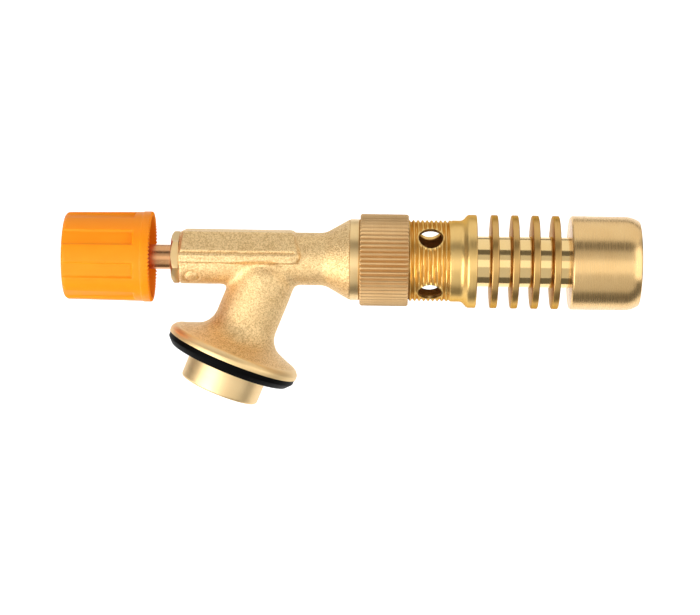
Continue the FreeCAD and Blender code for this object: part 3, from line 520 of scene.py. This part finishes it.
def forged_branch():
    """Inlet branch with a domed head, opening into the flange. It is turned, then leaned into place."""
    dome_steps = 8
    dome = [(branch_dome * math.cos(i * math.pi / 2 / dome_steps) - branch_dome + branch_rise,
             branch_radius * math.sin(i * math.pi / 2 / dome_steps)) for i in range(dome_steps + 1)]
    rim_place = washer_thick + rim_thick - inlet_rise
    foot = [(flare_rise - inlet_rise, branch_radius, 3.0), (slope_rise - inlet_rise, slope_radius, 0.5),
            (rim_place, rim_radius), (rim_place, 0)]
    branch = lathe(dome + foot, steps=160)
    branch.transform(inlet_turn)
    return branch


forging = join(forged_barrel(), forged_slab(), forged_rib(), forged_branch())
print("rough forging:", len(forging.faces), "faces")

# %% [markdown]
# The weld and its smoothing. How much a point is smoothed depends on how near it is to both the
# barrel's skin and the branch's skin, because their crossing is where the die had its large fillet. Each
# pass smooths a smaller group, so the fillet fades out along the surface. The marks of the die come
# last: a fine ledge above each rib, and a small round pad low on the barrel with a moat round it.

# %% Weld and smooth the forging
BRANCH_FILLET = [(3.4, 14), (2.4, 20), (1.4, 24)]
SLAB_FILLET = [(1.6, 5), (1.0, 5)]


def weld(bm, voxel):
    """Voxel remesh overlapping solids into one skin."""
    holder = temporary_object(bm)
    remesh = holder.modifiers.new("weld", "REMESH")
    remesh.mode = "VOXEL"
    remesh.voxel_size = voxel
    return take_result(holder)


def soft_step(value, start, end):
    """Rise smoothly from 0 at start to 1 at end."""
    part = min(1.0, max(0.0, (value - start) / (end - start)))
    return part * part * (3 - 2 * part)


def smooth(bm, verts, passes):
    """Relax the chosen points towards their neighbours."""
    for _ in range(passes):
        bmesh.ops.smooth_vert(bm, verts=verts, factor=0.5, use_axis_x=True, use_axis_y=True,
                              use_axis_z=True)


def crossing_distance(point):
    """How far a point is from the line where the branch's skin meets the barrel's."""
    from_barrel = abs(math.hypot(point.y, point.z) - barrel_radius)
    along = point.dot(inlet_up)
    from_branch = abs((point - along * inlet_up).length - branch_radius)
    if along > 0:
        return inlet_rise
    return math.hypot(from_barrel, from_branch)


def slab_end_distance(point):
    """How far a point is from the corner where the slab's front end meets the neck."""
    if point.z < 0.5:
        return inlet_rise
    return math.hypot(point.x - (slab_front_low - 0.4), math.hypot(point.y, point.z) - barrel_radius)


forging = weld(forging, VOXEL_MM)
smooth(forging, forging.verts[:], 3)
for reach, passes in BRANCH_FILLET:
    near = [vert for vert in forging.verts if crossing_distance(vert.co) < reach]
    smooth(forging, near, passes)
for reach, passes in SLAB_FILLET:
    near = [vert for vert in forging.verts if slab_end_distance(vert.co) < reach]
    smooth(forging, near, passes)
ledge_depth, ledge_half = 0.5, 0.6
for vert in forging.verts:
    beside_slab = soft_step(slab_front_high + ledge_half - vert.co.x, 0, ledge_half)
    from_ledge = math.hypot(vert.co.z - rib_high - 0.1, abs(vert.co.y) - rib_side + 0.3)
    if from_ledge < ledge_half:
        pressed = ledge_depth * (1 - from_ledge / ledge_half) * beside_slab
        vert.co.y -= math.copysign(pressed, vert.co.y)
pad_place, pad_radius, pad_height, moat_depth, pad_turn = -17.5, 1.45, 0.25, 0.18, math.radians(44)
pad_middle = Vector((pad_place, -barrel_radius * math.cos(pad_turn), -barrel_radius * math.sin(pad_turn)))
for vert in forging.verts:
    from_pad = (vert.co - pad_middle).length / pad_radius
    if from_pad < 1.4 and math.hypot(vert.co.y, vert.co.z) < barrel_radius + 0.1:
        raised_by = pad_height * (1 - soft_step(from_pad, 0.75, 1.0))
        moat = soft_step(from_pad, 0.85, 1.08) * (1 - soft_step(from_pad, 1.12, 1.38))
        vert.co += (raised_by - moat_depth * moat) * Vector((0, vert.co.y, vert.co.z)).normalized()
print("welded forging:", len(forging.verts), "points")

finish_piece(forging, "forged_body", barrel_place, "torch_body", blasted,
             nodes=["valve_body"], crease=math.radians(80))

# %% [markdown]
# ## Machined faces of the body
#
# Two places on the forging were machined afterwards, and they look different: the shoulder that the air
# collar closes against, with the thread that carries the mixing tube, and the rim of the inlet flange.
# Turning them as pieces of their own gives them crisp rings and edges beside the blasted skin.

# %% Shoulder and flange rim
spigot_radius, spigot_front, jet_thread_radius = 7.0, 27.0, 3.0
shoulder = lathe([
    (shoulder_back, jet_thread_radius), (shoulder_back, shoulder_radius - 0.04),
    (shoulder_back + 0.02, shoulder_radius), (shoulder_front, shoulder_radius, 0.2),
    (shoulder_front, spigot_radius), (spigot_front, spigot_radius, 0.3),
    (spigot_front, jet_thread_radius)], steps=144)
finish_piece(shoulder, "body_shoulder", barrel_place, "torch_body", shouldered)

boss_radius = 9.0
rim = lathe([
    (washer_thick, boss_radius), (washer_thick, rim_radius - 0.02, 0.1),
    (washer_thick + rim_thick, rim_radius - 0.02, 0.25), (slope_rise + 0.1, slope_radius - 0.02, 0.4),
    (slope_rise + 0.33, slope_radius - 0.6), (slope_rise + 0.1, boss_radius)], steps=160)
finish_piece(rim, "flange_rim", inlet_place, "torch_body", rim_turned)

# %% [markdown]
# ## Seat washer and canister boss
#
# The washer is black nitrile with a wide bevel on its lower edge. The boss below it is turned bright. Its
# inside carries the canister's thread, which is a real helix here: the bore is spun with many short
# steps, and each point is then moved by how far it is round and along the thread.

# %% A helical thread
def cut_thread(bm, low, high, pitch, crest, depth, hand=1, inside=False, calm=None):
    """Cut a V thread into the skin at one radius, between two places along X, fading at both ends.

    calm says how much of the depth a point keeps, where the thread was dressed down by a file.
    """
    for vert in bm.verts:
        radius = math.hypot(vert.co.y, vert.co.z)
        if abs(radius - crest) > 0.02 or not low <= vert.co.x <= high:
            continue
        turn = math.atan2(vert.co.z, vert.co.y) / math.tau
        phase = (vert.co.x / pitch - hand * turn) % 1.0
        valley = max(0.0, 1.0 - abs(phase - 0.5) / 0.42)
        fade = min(1.0, (vert.co.x - low) / pitch, (high - vert.co.x) / pitch)
        move = depth * min(valley, 0.88) * fade
        if calm:
            move = calm(vert.co, move)
        factor = (radius + (move if inside else -move)) / radius
        vert.co.y *= factor
        vert.co.z *= factor


THREAD_STEP = 10

# %% Seat washer and boss
washer_radius = 14.85
washer_bevel, washer_bevel_rise = 1.2, 1.3
washer = lathe([
    (0, boss_radius + 0.02), (0, washer_radius - washer_bevel, 0.15),
    (washer_bevel_rise, washer_radius, 0.12),
    (washer_thick - 0.01, washer_radius, 0.1), (washer_thick - 0.01, boss_radius + 0.02)], steps=160)
finish_piece(washer, "rubber_seat", inlet_place, "torch_body", nitrile,
             nodes=["seat_washer"])

boss_mouth, canister_bore, thread_end = -6.0, 5.0, 1.5
canister_pitch, canister_thread_depth = 25.4 / 28, 0.5
mouth_bevel, boss_round = 0.7, 0.65
relief_radius, relief_end, oring_seat_radius = 5.6, 3.0, 4.9
pin_seat, pin_radius, boss_top, boss_thread_radius = 4.6, 2.5, 7.0, 6.5
groove_low, groove_high, groove_radius = 5.2, 6.2, 5.6
boss_outline = wire_outline([
    (boss_mouth, canister_bore + mouth_bevel), (boss_mouth, boss_radius, boss_round),
    (washer_thick, boss_radius), (washer_thick, boss_thread_radius), (groove_low, boss_thread_radius),
    (groove_low, groove_radius), (groove_high, groove_radius), (groove_high, boss_thread_radius),
    (boss_top, boss_thread_radius, 0.2), (boss_top, pin_radius), (pin_seat, pin_radius),
    (pin_seat, oring_seat_radius), (relief_end, oring_seat_radius), (relief_end, relief_radius),
    (thread_end, relief_radius), (thread_end, canister_bore), (boss_mouth + mouth_bevel, canister_bore)])
bore_edges = [edge for edge in boss_outline.edges
              if all(abs(vert.co.z - canister_bore) < 1e-4 for vert in edge.verts)]
bmesh.ops.subdivide_edges(boss_outline, edges=bore_edges,
                          cuts=int((thread_end - boss_mouth) / canister_pitch * THREAD_STEP))
boss = spin_round(boss_outline, 96)
cut_thread(boss, boss_mouth + mouth_bevel, thread_end, canister_pitch, canister_bore,
           canister_thread_depth, hand=-1, inside=True)
finish_piece(boss, "inlet_boss", inlet_place, "torch_body", boss_turned,
             nodes=["canister_adapter"], crease=math.radians(30))

# %% [markdown]
# ## Gland nut, stem and knob screw
#
# The nut is a slice of hexagon bar whose outer corners were turned off. Cutting a hexagonal prism to the
# shape it shares with a chamfered disc does the same as the lathe did. The stem runs through it.

# %% Gland nut
nut_across, nut_turn = 10.0, math.radians(10.0)
nut_bore, nut_bore_bevel, nut_shank_radius, nut_chamfer_length = 2.85, 0.3, 4.0, 0.55
hexagon = bmesh.new()
bmesh.ops.create_cone(hexagon, cap_ends=True, cap_tris=False, segments=6,
                      radius1=nut_across / math.sqrt(3), radius2=nut_across / math.sqrt(3),
                      depth=body_back - nut_back,
                      matrix=Matrix.Translation(((body_back + nut_back) / 2, 0, 0))
                      @ Matrix.Rotation(math.pi / 2, 4, "Y"))
bmesh.ops.rotate(hexagon, verts=hexagon.verts, cent=(0, 0, 0),
                 matrix=Matrix.Rotation(math.pi / 2 - nut_turn, 3, "X"))
nut_chamfer = lathe([
    (nut_back, 0), (nut_back, nut_across / 2 - 0.05),
    (nut_back + nut_chamfer_length, nut_across / math.sqrt(3) + 0.1),
    (body_back, nut_across / math.sqrt(3) + 0.1), (body_back, 0)], steps=96)
nut = carve(hexagon, nut_chamfer, "INTERSECT")
stem_hole = lathe([
    (nut_back - 1, 0), (nut_back - 1, nut_bore + nut_bore_bevel), (nut_back + nut_bore_bevel, nut_bore),
    (body_back + 1, nut_bore), (body_back + 1, 0)], steps=96)
nut = carve(nut, stem_hole)
nut_shank = lathe([(body_back, nut_bore), (body_back, nut_shank_radius), (nut_front, nut_shank_radius),
                   (nut_front, nut_bore)], steps=64)
sharp_edges = [edge for edge in nut.edges
               if edge.is_manifold and edge.calc_face_angle(0) > math.radians(28)]
bmesh.ops.bevel(nut, geom=sharp_edges, offset=0.07, offset_type="OFFSET", segments=2, profile=0.5,
                affect="EDGES", material=-1, clamp_overlap=True)
finish_piece(join(nut, nut_shank), "gland_hexagon", barrel_place, "torch_body",
             shouldered, nodes=["gland_nut"])

# %% Stem
stem_back, needle_tip = span_mm("valve_spindle")
stem_radius, stem_thread_radius, stem_thread_back, stem_thread_front = 2.75, 3.3, -10.6, -4.4
ring_groove_radius, ring_groove_back, ring_groove_front = 2.0, -13.15, -11.05
needle_radius, needle_back, needle_tip_radius = 1.5, -0.6, 0.25
tapped_radius, tapped_end, tapped_cone = 1.5, -33.6, 0.6
stem = lathe([
    (stem_back, tapped_radius), (stem_back, stem_radius, 0.3),
    (ring_groove_back, stem_radius, FINE_EDGE), (ring_groove_back, ring_groove_radius),
    (ring_groove_front, ring_groove_radius), (ring_groove_front, stem_radius, FINE_EDGE),
    (stem_thread_back, stem_radius), (stem_thread_back, stem_thread_radius, FINE_EDGE),
    (stem_thread_front, stem_thread_radius, FINE_EDGE), (stem_thread_front, needle_radius),
    (needle_back, needle_radius), (needle_tip, needle_tip_radius), (needle_tip, 0),
    (tapped_end + tapped_cone, 0), (tapped_end, tapped_radius)], steps=96)
finish_piece(stem, "valve_stem", barrel_place, "valve_control", drawn,
             nodes=["valve_spindle"])

# %% [markdown]
# ## The control knob
#
# The knob is a moulded cup with a little draft, a bead round its open end and a hub inside for the stem.
# Its grip is eight shallow flats that run out through the closed end and stop at a small wall near the
# bead. Cutting them with a boolean leaves hard lips. Pressing the points of a finely spun skin inwards,
# with a soft edge, gives the rounded lips that a mould gives.

# %% Knob
knob_back, knob_front = span_mm("control_knob")
bead_radius = radius_mm("control_knob")
knob_end_radius, knob_bead_end_radius = 9.65, 9.9
knob_bore, hub_radius, cap_radius = 7.85, 4.6, 5.5
recess_front = knob_front - 3.8
mouth_radius, mouth_floor = 9.25, knob_front - 3.0
recess_count, recess_half, recess_depth = 8, 1.75, 0.5
recess_turn = math.radians(30.3)
recess_lip = 0.2
knob_floor, hub_front, cap_seat = knob_back + 3.2, knob_back + 12.2, knob_back + 1.6
stem_fit, screw_fit, screw_seat_thick = 2.77, 1.52, 1.4
lip_teeth, lip_tooth_depth, lip_reach = 72, 0.34, 0.5


def press_recesses(bm):
    """Press the grip flats into the knob's outer skin."""
    pitch = math.tau / recess_count
    for vert in bm.verts:
        radius = math.hypot(vert.co.y, vert.co.z)
        if radius < knob_bore + 0.6:
            continue
        angle = (math.atan2(vert.co.z, -vert.co.y) - recess_turn + pitch / 2) % pitch - pitch / 2
        across = abs(radius * math.sin(angle))
        inside = 1 - soft_step(across, recess_half - recess_lip, recess_half + recess_lip * 0.4)
        behind = 1 - soft_step(vert.co.x, recess_front - recess_lip, recess_front + recess_lip * 0.3)
        floor_radius = (knob_end_radius - recess_depth) / math.cos(angle)
        sunk = max(0.0, radius - floor_radius) * inside * behind
        factor = (radius - sunk) / radius
        vert.co.y *= factor
        vert.co.z *= factor


def serrate_lip(bm):
    """Cut the fine teeth into the rim of the open end."""
    for vert in bm.verts:
        if math.hypot(vert.co.y, vert.co.z) < knob_bore:
            continue
        phase = (math.atan2(vert.co.z, vert.co.y) / math.tau * lip_teeth) % 1.0
        near_rim = soft_step(vert.co.x, knob_front - lip_reach, knob_front)
        vert.co.x -= lip_tooth_depth * (1 - abs(2 * phase - 1)) * near_rim


knob_outline = wire_outline([
    (knob_back + 0.12, cap_radius), (knob_back + 0.42, knob_end_radius, 0.9),
    (knob_front - 2.1, knob_bead_end_radius), (knob_front - 1.95, bead_radius - 0.02, 0.12),
    (knob_front, bead_radius - 0.02, 0.4), (knob_front, mouth_radius, 0.15),
    (mouth_floor, mouth_radius, 0.3), (mouth_floor, knob_bore, 0.3), (knob_floor, knob_bore, 0.9),
    (knob_floor, hub_radius, 0.5), (hub_front, hub_radius, 0.3), (hub_front, stem_fit),
    (stem_back, stem_fit), (stem_back, screw_fit), (stem_back - screw_seat_thick, screw_fit),
    (stem_back - screw_seat_thick, stem_fit), (cap_seat, stem_fit), (cap_seat, cap_radius)])
skirt_step = 0.22
skirt_edges = [edge for edge in knob_outline.edges
               if all(vert.co.z > knob_bore + 1 for vert in edge.verts) and edge.calc_length() > 2]
for edge in skirt_edges:
    bmesh.ops.subdivide_edges(knob_outline, edges=[edge], cuts=int(edge.calc_length() / skirt_step))
knob = spin_round(knob_outline, 432)
press_recesses(knob)
serrate_lip(knob)
finish_piece(knob, "orange_knob", barrel_place, "valve_control", orange,
             nodes=["control_knob"], crease=math.radians(50))

cap = lathe([(knob_back + 0.01, 0), (knob_back + 0.03, 2.5), (knob_back + 0.14, cap_radius - 0.06, 0.25),
             (cap_seat - 0.02, cap_radius - 0.06), (cap_seat - 0.02, 0)], steps=96)
finish_piece(cap, "knob_end_cap", barrel_place, "valve_control", orange,
             nodes=["knob_cap"])

# %% [markdown]
# ## Mixing tube
#
# The tube's outside is an M18 thread that the air collar runs on, up to a plain stretch and a flared end
# flange. Four air holes are drilled through the threads. The thread is cut first, as in the workshop,
# and the holes are drilled through it with a boolean.

# %% Mixing tube
tube_back, tube_front = span_mm("mixing_tube")
tube_radius, tube_thread_end, tube_pitch, tube_thread_depth = 9.0, 39.9, 1.0, 0.56
flange_radius, flare_back, flare_front = radius_mm("mixing_tube"), 42.05, 43.25
chamber_radius, chamber_back, chamber_front, neck_thread_radius = 7.9, 28.2, 40.2, 6.5
hole_radius, hole_place, hole_turn, hole_count = 2.6, 35.0, math.radians(40.0), 4
drill_start, drill_end = 4.0, tube_radius + 0.35
countersink, countersink_depth, dressed_depth = 0.5, 0.45, 0.22

tube_outline = wire_outline([
    (tube_back + 0.02, spigot_radius + 0.02), (tube_back + 0.02, tube_radius),
    (flare_back, tube_radius, 0.5), (flare_front, flange_radius - 0.02, 0.35),
    (tube_front, flange_radius - 0.02, 0.3),
    (tube_front, neck_thread_radius + 0.02), (chamber_front, neck_thread_radius + 0.02),
    (chamber_front, chamber_radius), (chamber_back, chamber_radius), (chamber_back, spigot_radius + 0.02)])
thread_edges = [edge for edge in tube_outline.edges
                if all(abs(vert.co.z - tube_radius) < 1e-3 for vert in edge.verts)]
bmesh.ops.subdivide_edges(tube_outline, edges=thread_edges,
                          cuts=int((flare_back - tube_back) / tube_pitch * THREAD_STEP))
tube = spin_round(tube_outline, 192)


def dressed_near_holes(point, move):
    """Flatten the thread to an even depth round each air hole, where its burr was filed off."""
    apart = math.tau / hole_count
    angle = (math.atan2(point.z, -point.y) - hole_turn + apart / 2) % apart - apart / 2
    distance = math.hypot(point.x - hole_place, tube_radius * angle)
    kept = soft_step(distance, hole_radius + 0.1, hole_radius + 0.6)
    return kept * move + (1 - kept) * dressed_depth


cut_thread(tube, tube_back + 0.4, tube_thread_end, tube_pitch, tube_radius, tube_thread_depth,
           calm=dressed_near_holes)


def air_hole_drill(number):
    """One of the drills with its countersink, turned to point out from the axis."""
    drill = lathe([(drill_start, 0), (drill_start, hole_radius),
                   (tube_radius - countersink_depth, hole_radius),
                   (drill_end, hole_radius + countersink), (drill_end, 0)], steps=64)
    around = Matrix.Rotation(number * math.tau / hole_count - hole_turn, 4, "X")
    out_of_axis = Matrix.Rotation(-math.pi / 2, 4, "Z")
    drill.transform(Matrix.Translation((hole_place, 0, 0)) @ around @ out_of_axis)
    return drill


for number in range(hole_count):
    tube = carve(tube, air_hole_drill(number))
finish_piece(tube, "threaded_mixing_tube", barrel_place, "torch_body", threaded,
             nodes=["mixing_tube"], crease=math.radians(40))

# %% [markdown]
# ## Air collar
#
# A straight knurl is rolled or cut: sixty V-shaped grooves with narrow crests. The collar is turned with
# eight steps to each ridge, and each point's radius is limited by the groove it lies in. Where the
# groove runs out through the chamfer, the ridge ends in a small bright triangle, as on a real collar.

# %% Air collar
collar_back, collar_front = span_mm("air_collar")
collar_radius = radius_mm("air_collar")
collar_bore, collar_chamfer = 9.15, 0.32
knurl_count, knurl_depth, knurl_steps = 60, 0.42, 8
grip_groove_back, grip_groove_front, grip_groove_radius = 23.0, 24.2, 9.65


def roll_knurl(bm):
    """Sink the V grooves of the straight knurl into the collar's outer skin."""
    pitch = math.tau / knurl_count
    for vert in bm.verts:
        radius = math.hypot(vert.co.y, vert.co.z)
        if radius < collar_bore + 0.3:
            continue
        phase = (math.atan2(vert.co.z, vert.co.y) / pitch) % 1.0
        groove = max(0.0, 1 - abs(phase - 0.5) / 0.40)
        limit = collar_radius - knurl_depth * groove
        if radius > limit:
            vert.co.y *= limit / radius
            vert.co.z *= limit / radius


collar_outline = wire_outline([
    (collar_back, collar_bore), (collar_back, collar_radius - collar_chamfer),
    (collar_back + collar_chamfer, collar_radius - 0.01),
    (collar_front - collar_chamfer, collar_radius - 0.01),
    (collar_front, collar_radius - collar_chamfer), (collar_front, collar_bore, 0.15),
    (grip_groove_front, collar_bore), (grip_groove_front, grip_groove_radius),
    (grip_groove_back, grip_groove_radius), (grip_groove_back, collar_bore)])
chamfer_edges = [edge for edge in collar_outline.edges
                 if all(vert.co.z > collar_radius - collar_chamfer - 0.01 for vert in edge.verts)
                 and edge.calc_length() < 2 * collar_chamfer]
bmesh.ops.subdivide_edges(collar_outline, edges=chamfer_edges, cuts=7)
collar = spin_round(collar_outline, knurl_count * knurl_steps)
roll_knurl(collar)
finish_piece(collar, "knurled_air_collar", barrel_place, "air_regulator", knurled,
             nodes=["air_collar"], crease=math.radians(22))

# %% [markdown]
# ## Finned neck and burner cup
#
# The neck is buffed bright and its four fins shed the burner's heat before it reaches the threads. The
# cup is brushed round its axis on the lathe and its mouth is rounded over.

# %% Finned neck
neck_radius, neck_back, neck_front_end = 5.625, 45.2, 65.9
entry_radius, throat_radius, throat_back, throat_round = 5.2, 3.5, 47.0, 2.0
cup_thread_radius, cup_floor = 4.5, 70.1
fin_radius, fin_thick, fin_pitch, fin_first, fin_count = 10.35, 1.5, 4.52, 49.1, 4
fin_edge, fin_root = 0.25, 0.35
neck = lathe([
    (chamber_front + 0.02, entry_radius), (chamber_front + 0.02, neck_thread_radius, 0.3),
    (neck_back, neck_thread_radius), (neck_back, neck_radius), (neck_front_end, neck_radius),
    (neck_front_end, cup_thread_radius), (cup_floor, cup_thread_radius),
    (cup_floor, throat_radius, 0.2), (throat_back, throat_radius, throat_round)], steps=160)
finish_piece(neck, "buffed_neck", barrel_place, "torch_body", polished,
             nodes=["finned_neck"])

fin_inner = neck_radius - 0.4
fins = bmesh.new()
for number in range(fin_count):
    fin_back = fin_first + number * fin_pitch - fin_thick / 2
    fin_front = fin_back + fin_thick
    join(fins, lathe([
        (fin_back - fin_root, fin_inner), (fin_back - fin_root, neck_radius + 0.01),
        (fin_back, neck_radius + 0.01, fin_root * 0.9), (fin_back, fin_radius - 0.01, fin_edge),
        (fin_front, fin_radius - 0.01, fin_edge), (fin_front, neck_radius + 0.01, fin_root * 0.9),
        (fin_front + fin_root, neck_radius + 0.01), (fin_front + fin_root, fin_inner)], steps=160))
finish_piece(fins, "cooling_fins", barrel_place, "torch_body", fin_brass_painted_shade)

# %% Burner cup
cup_back, cup_front = span_mm("burner_cup")
cup_radius = radius_mm("burner_cup")
cup_bore, cup_bevel, mouth_length, mouth_drop = 9.0, 0.35, 2.0, 1.0
cup = lathe([
    (cup_back + 0.01, cup_thread_radius + 0.02), (cup_back + 0.01, cup_radius - cup_bevel),
    (cup_back + cup_bevel, cup_radius - 0.01, 0.1), (cup_front - mouth_length, cup_radius - 0.01, 1.2),
    (cup_front, cup_radius - mouth_drop, 0.25), (cup_front, cup_bore, 0.2),
    (cup_floor, cup_bore), (cup_floor, cup_thread_radius + 0.02)], steps=192)
finish_piece(cup, "burner_shell", barrel_place, "torch_body", brushed,
             nodes=["burner_cup"])

# %% Flame holder
holder_back, holder_front = span_mm("flame_holder")
port_radius, pilot_circle, pilot_radius, pilot_count, pilot_bevel = 2.8, 6.3, 0.8, 12, 0.25
holder = lathe([(holder_back, port_radius), (holder_back, cup_bore), (holder_front, cup_bore, 0.25),
                (holder_front, port_radius, 0.3)], steps=128)
for number in range(pilot_count):
    turn = Matrix.Rotation(number * math.tau / pilot_count, 4, "X")
    pilot_drill = lathe([(holder_back - 1, 0), (holder_back - 1, pilot_radius),
                         (holder_front - pilot_bevel, pilot_radius),
                         (holder_front + 0.5, pilot_radius + pilot_bevel + 0.5),
                         (holder_front + 0.5, 0)], steps=32)
    pilot_drill.transform(turn @ Matrix.Translation((0, pilot_circle, 0)))
    holder = carve(holder, pilot_drill)
finish_piece(holder, "flame_holder_disc", barrel_place, "torch_body", plain_turned,
             nodes=["flame_holder"])

# %% [markdown]
# ## Stage, light and camera
#
# A polished metal shows whatever stands round it, so its light is set by what it reflects. The floor is
# a catalogue photographer's light table: a sheet of white acrylic that curves up into a backdrop and is
# lit from behind, so it shows white and has no shadows. It gives every barrel part its pale edges.

# %% Light table
TABLE_GLOW = 0.66
TABLE_DROP, TABLE_WIDTH, TABLE_FRONT, TABLE_BACK, TABLE_HIGH = 0.30, 3.0, 0.12, 1.1, 1.3


def lit_acrylic():
    """Matt white acrylic with lamps behind it, a little uneven as a real sheet is."""
    material, tree, shader, in_mm = new_material("lit_white_acrylic")
    uneven = add(tree, "ShaderNodeTexNoise", {"Vector": in_mm, "Scale": 1 / 300, "Detail": 1.0})
    colour = add(tree, "ShaderNodeMix", {0: uneven, 6: linear("#FFFFFF"), 7: linear("#FAFAFA")},
                 data_type="RGBA")
    plug(tree, shader, {"Base Color": colour, "Roughness": 0.85, "Emission Color": colour,
                        "Emission Strength": TABLE_GLOW})
    return material


middle = (cad_box[0] + cad_box[1]) / 2
table = bmesh.new()
bmesh.ops.create_grid(table, x_segments=1, y_segments=1, size=0.5)
bmesh.ops.scale(table, verts=table.verts, vec=(TABLE_WIDTH, TABLE_BACK - TABLE_FRONT, 1))
bmesh.ops.translate(table, verts=table.verts,
                    vec=(middle.x, (TABLE_BACK + TABLE_FRONT) / 2, cad_box[0].z - TABLE_DROP))
back_edge = [edge for edge in table.edges if all(vert.co.y > TABLE_BACK / 2 for vert in edge.verts)]
raised = bmesh.ops.extrude_edge_only(table, edges=back_edge)
bmesh.ops.translate(table, verts=[item for item in raised["geom"] if isinstance(item, bmesh.types.BMVert)],
                    vec=(0, 0, TABLE_HIGH))
bmesh.ops.bevel(table, geom=back_edge, offset=0.45, offset_type="OFFSET", segments=16, profile=0.5,
                affect="EDGES", material=-1)
table_mesh = bpy.data.meshes.new("light_table")
table.to_mesh(table_mesh)
table.free()
table_mesh.shade_smooth()
table_mesh.materials.append(lit_acrylic())
light_table = bpy.data.objects.new("light_table", table_mesh)
bpy.context.scene.collection.objects.link(light_table)

# %% [markdown]
# A broad soft box in front and a little below the camera, with a long strip near its top, gives the
# bright band along every cylinder. One overhead gives the top edges, and one on each side lights the
# ends. The dim gaps between them and the table draw the dark bands that make brass look like metal. A
# lamp's power is its brightness times pi times its area.

# %% Soft boxes
def soft_box(name, rise, turn, distance, size, brightness):
    """A rectangular lamp facing the torch. Rise and turn are its direction in degrees from the viewer's."""
    lamp = bpy.data.lights.new(name, "AREA")
    lamp.shape = "RECTANGLE"
    lamp.size, lamp.size_y = size
    lamp.energy = brightness * math.pi * size[0] * size[1]
    holder = bpy.data.objects.new(name, lamp)
    rise, turn = math.radians(rise), math.radians(turn)
    direction = Vector((math.sin(turn) * math.cos(rise), -math.cos(turn) * math.cos(rise), math.sin(rise)))
    holder.location = middle + distance * direction
    holder.rotation_euler = (-direction).to_track_quat("-Z", "Y").to_euler()
    holder.visible_camera = False
    bpy.context.scene.collection.objects.link(holder)
    print(f"{name}: {lamp.energy:.1f} W")


soft_box("front_box", -17, 0, 0.60, (1.3, 1.60), 0.54)
soft_box("front_strip", -3, 0, 0.58, (1.2, 0.34), 0.62)
soft_box("top_box", 94, 0, 0.50, (1.3, 0.66), 0.84)
soft_box("left_box", -22, -52, 0.55, (0.50, 0.6), 3.4)
soft_box("right_box", 4, 60, 0.60, (0.35, 0.7), 1.7)

world = bpy.data.worlds.new("studio")
world.use_nodes = True
plug(world.node_tree, world.node_tree.nodes["Background"], {"Color": linear("#F4F1EC"), "Strength": 0.18})
bpy.context.scene.world = world
bpy.context.scene.view_settings.view_transform = "Standard"

# %% [markdown]
# The camera stands half a metre away with a long lens, raised a few degrees, as for a catalogue picture.
# It looks at a point below and left of the barrel's middle and is rolled a little.

# %% Camera
camera_distance = 506 * MM
camera_rise = math.radians(4.8)
camera_roll = math.radians(0.8)
view_width_mm = 155.33
stand = crossing + Vector((23.5 * MM, 0, 0))
aim = crossing + Vector((17.43 * MM, 0, -10.7 * MM))

lens = bpy.data.cameras.new("camera")
lens.sensor_width = 36.0
lens.lens = camera_distance / MM / view_width_mm * lens.sensor_width
lens.clip_start, lens.clip_end = 0.01, 10.0
camera = bpy.data.objects.new("camera", lens)
camera.location = stand + camera_distance * Vector((0, -math.cos(camera_rise), math.sin(camera_rise)))
facing = (aim - camera.location).to_track_quat("-Z", "Y").to_matrix().to_4x4()
camera.rotation_euler = (facing @ Matrix.Rotation(camera_roll, 4, "Z")).to_euler()
bpy.context.scene.collection.objects.link(camera)
bpy.context.scene.camera = camera

# %% [markdown]
# ## Finish
#
# Last, we print how many pieces were made.

# %% Finish
print("pieces made:", len(made))
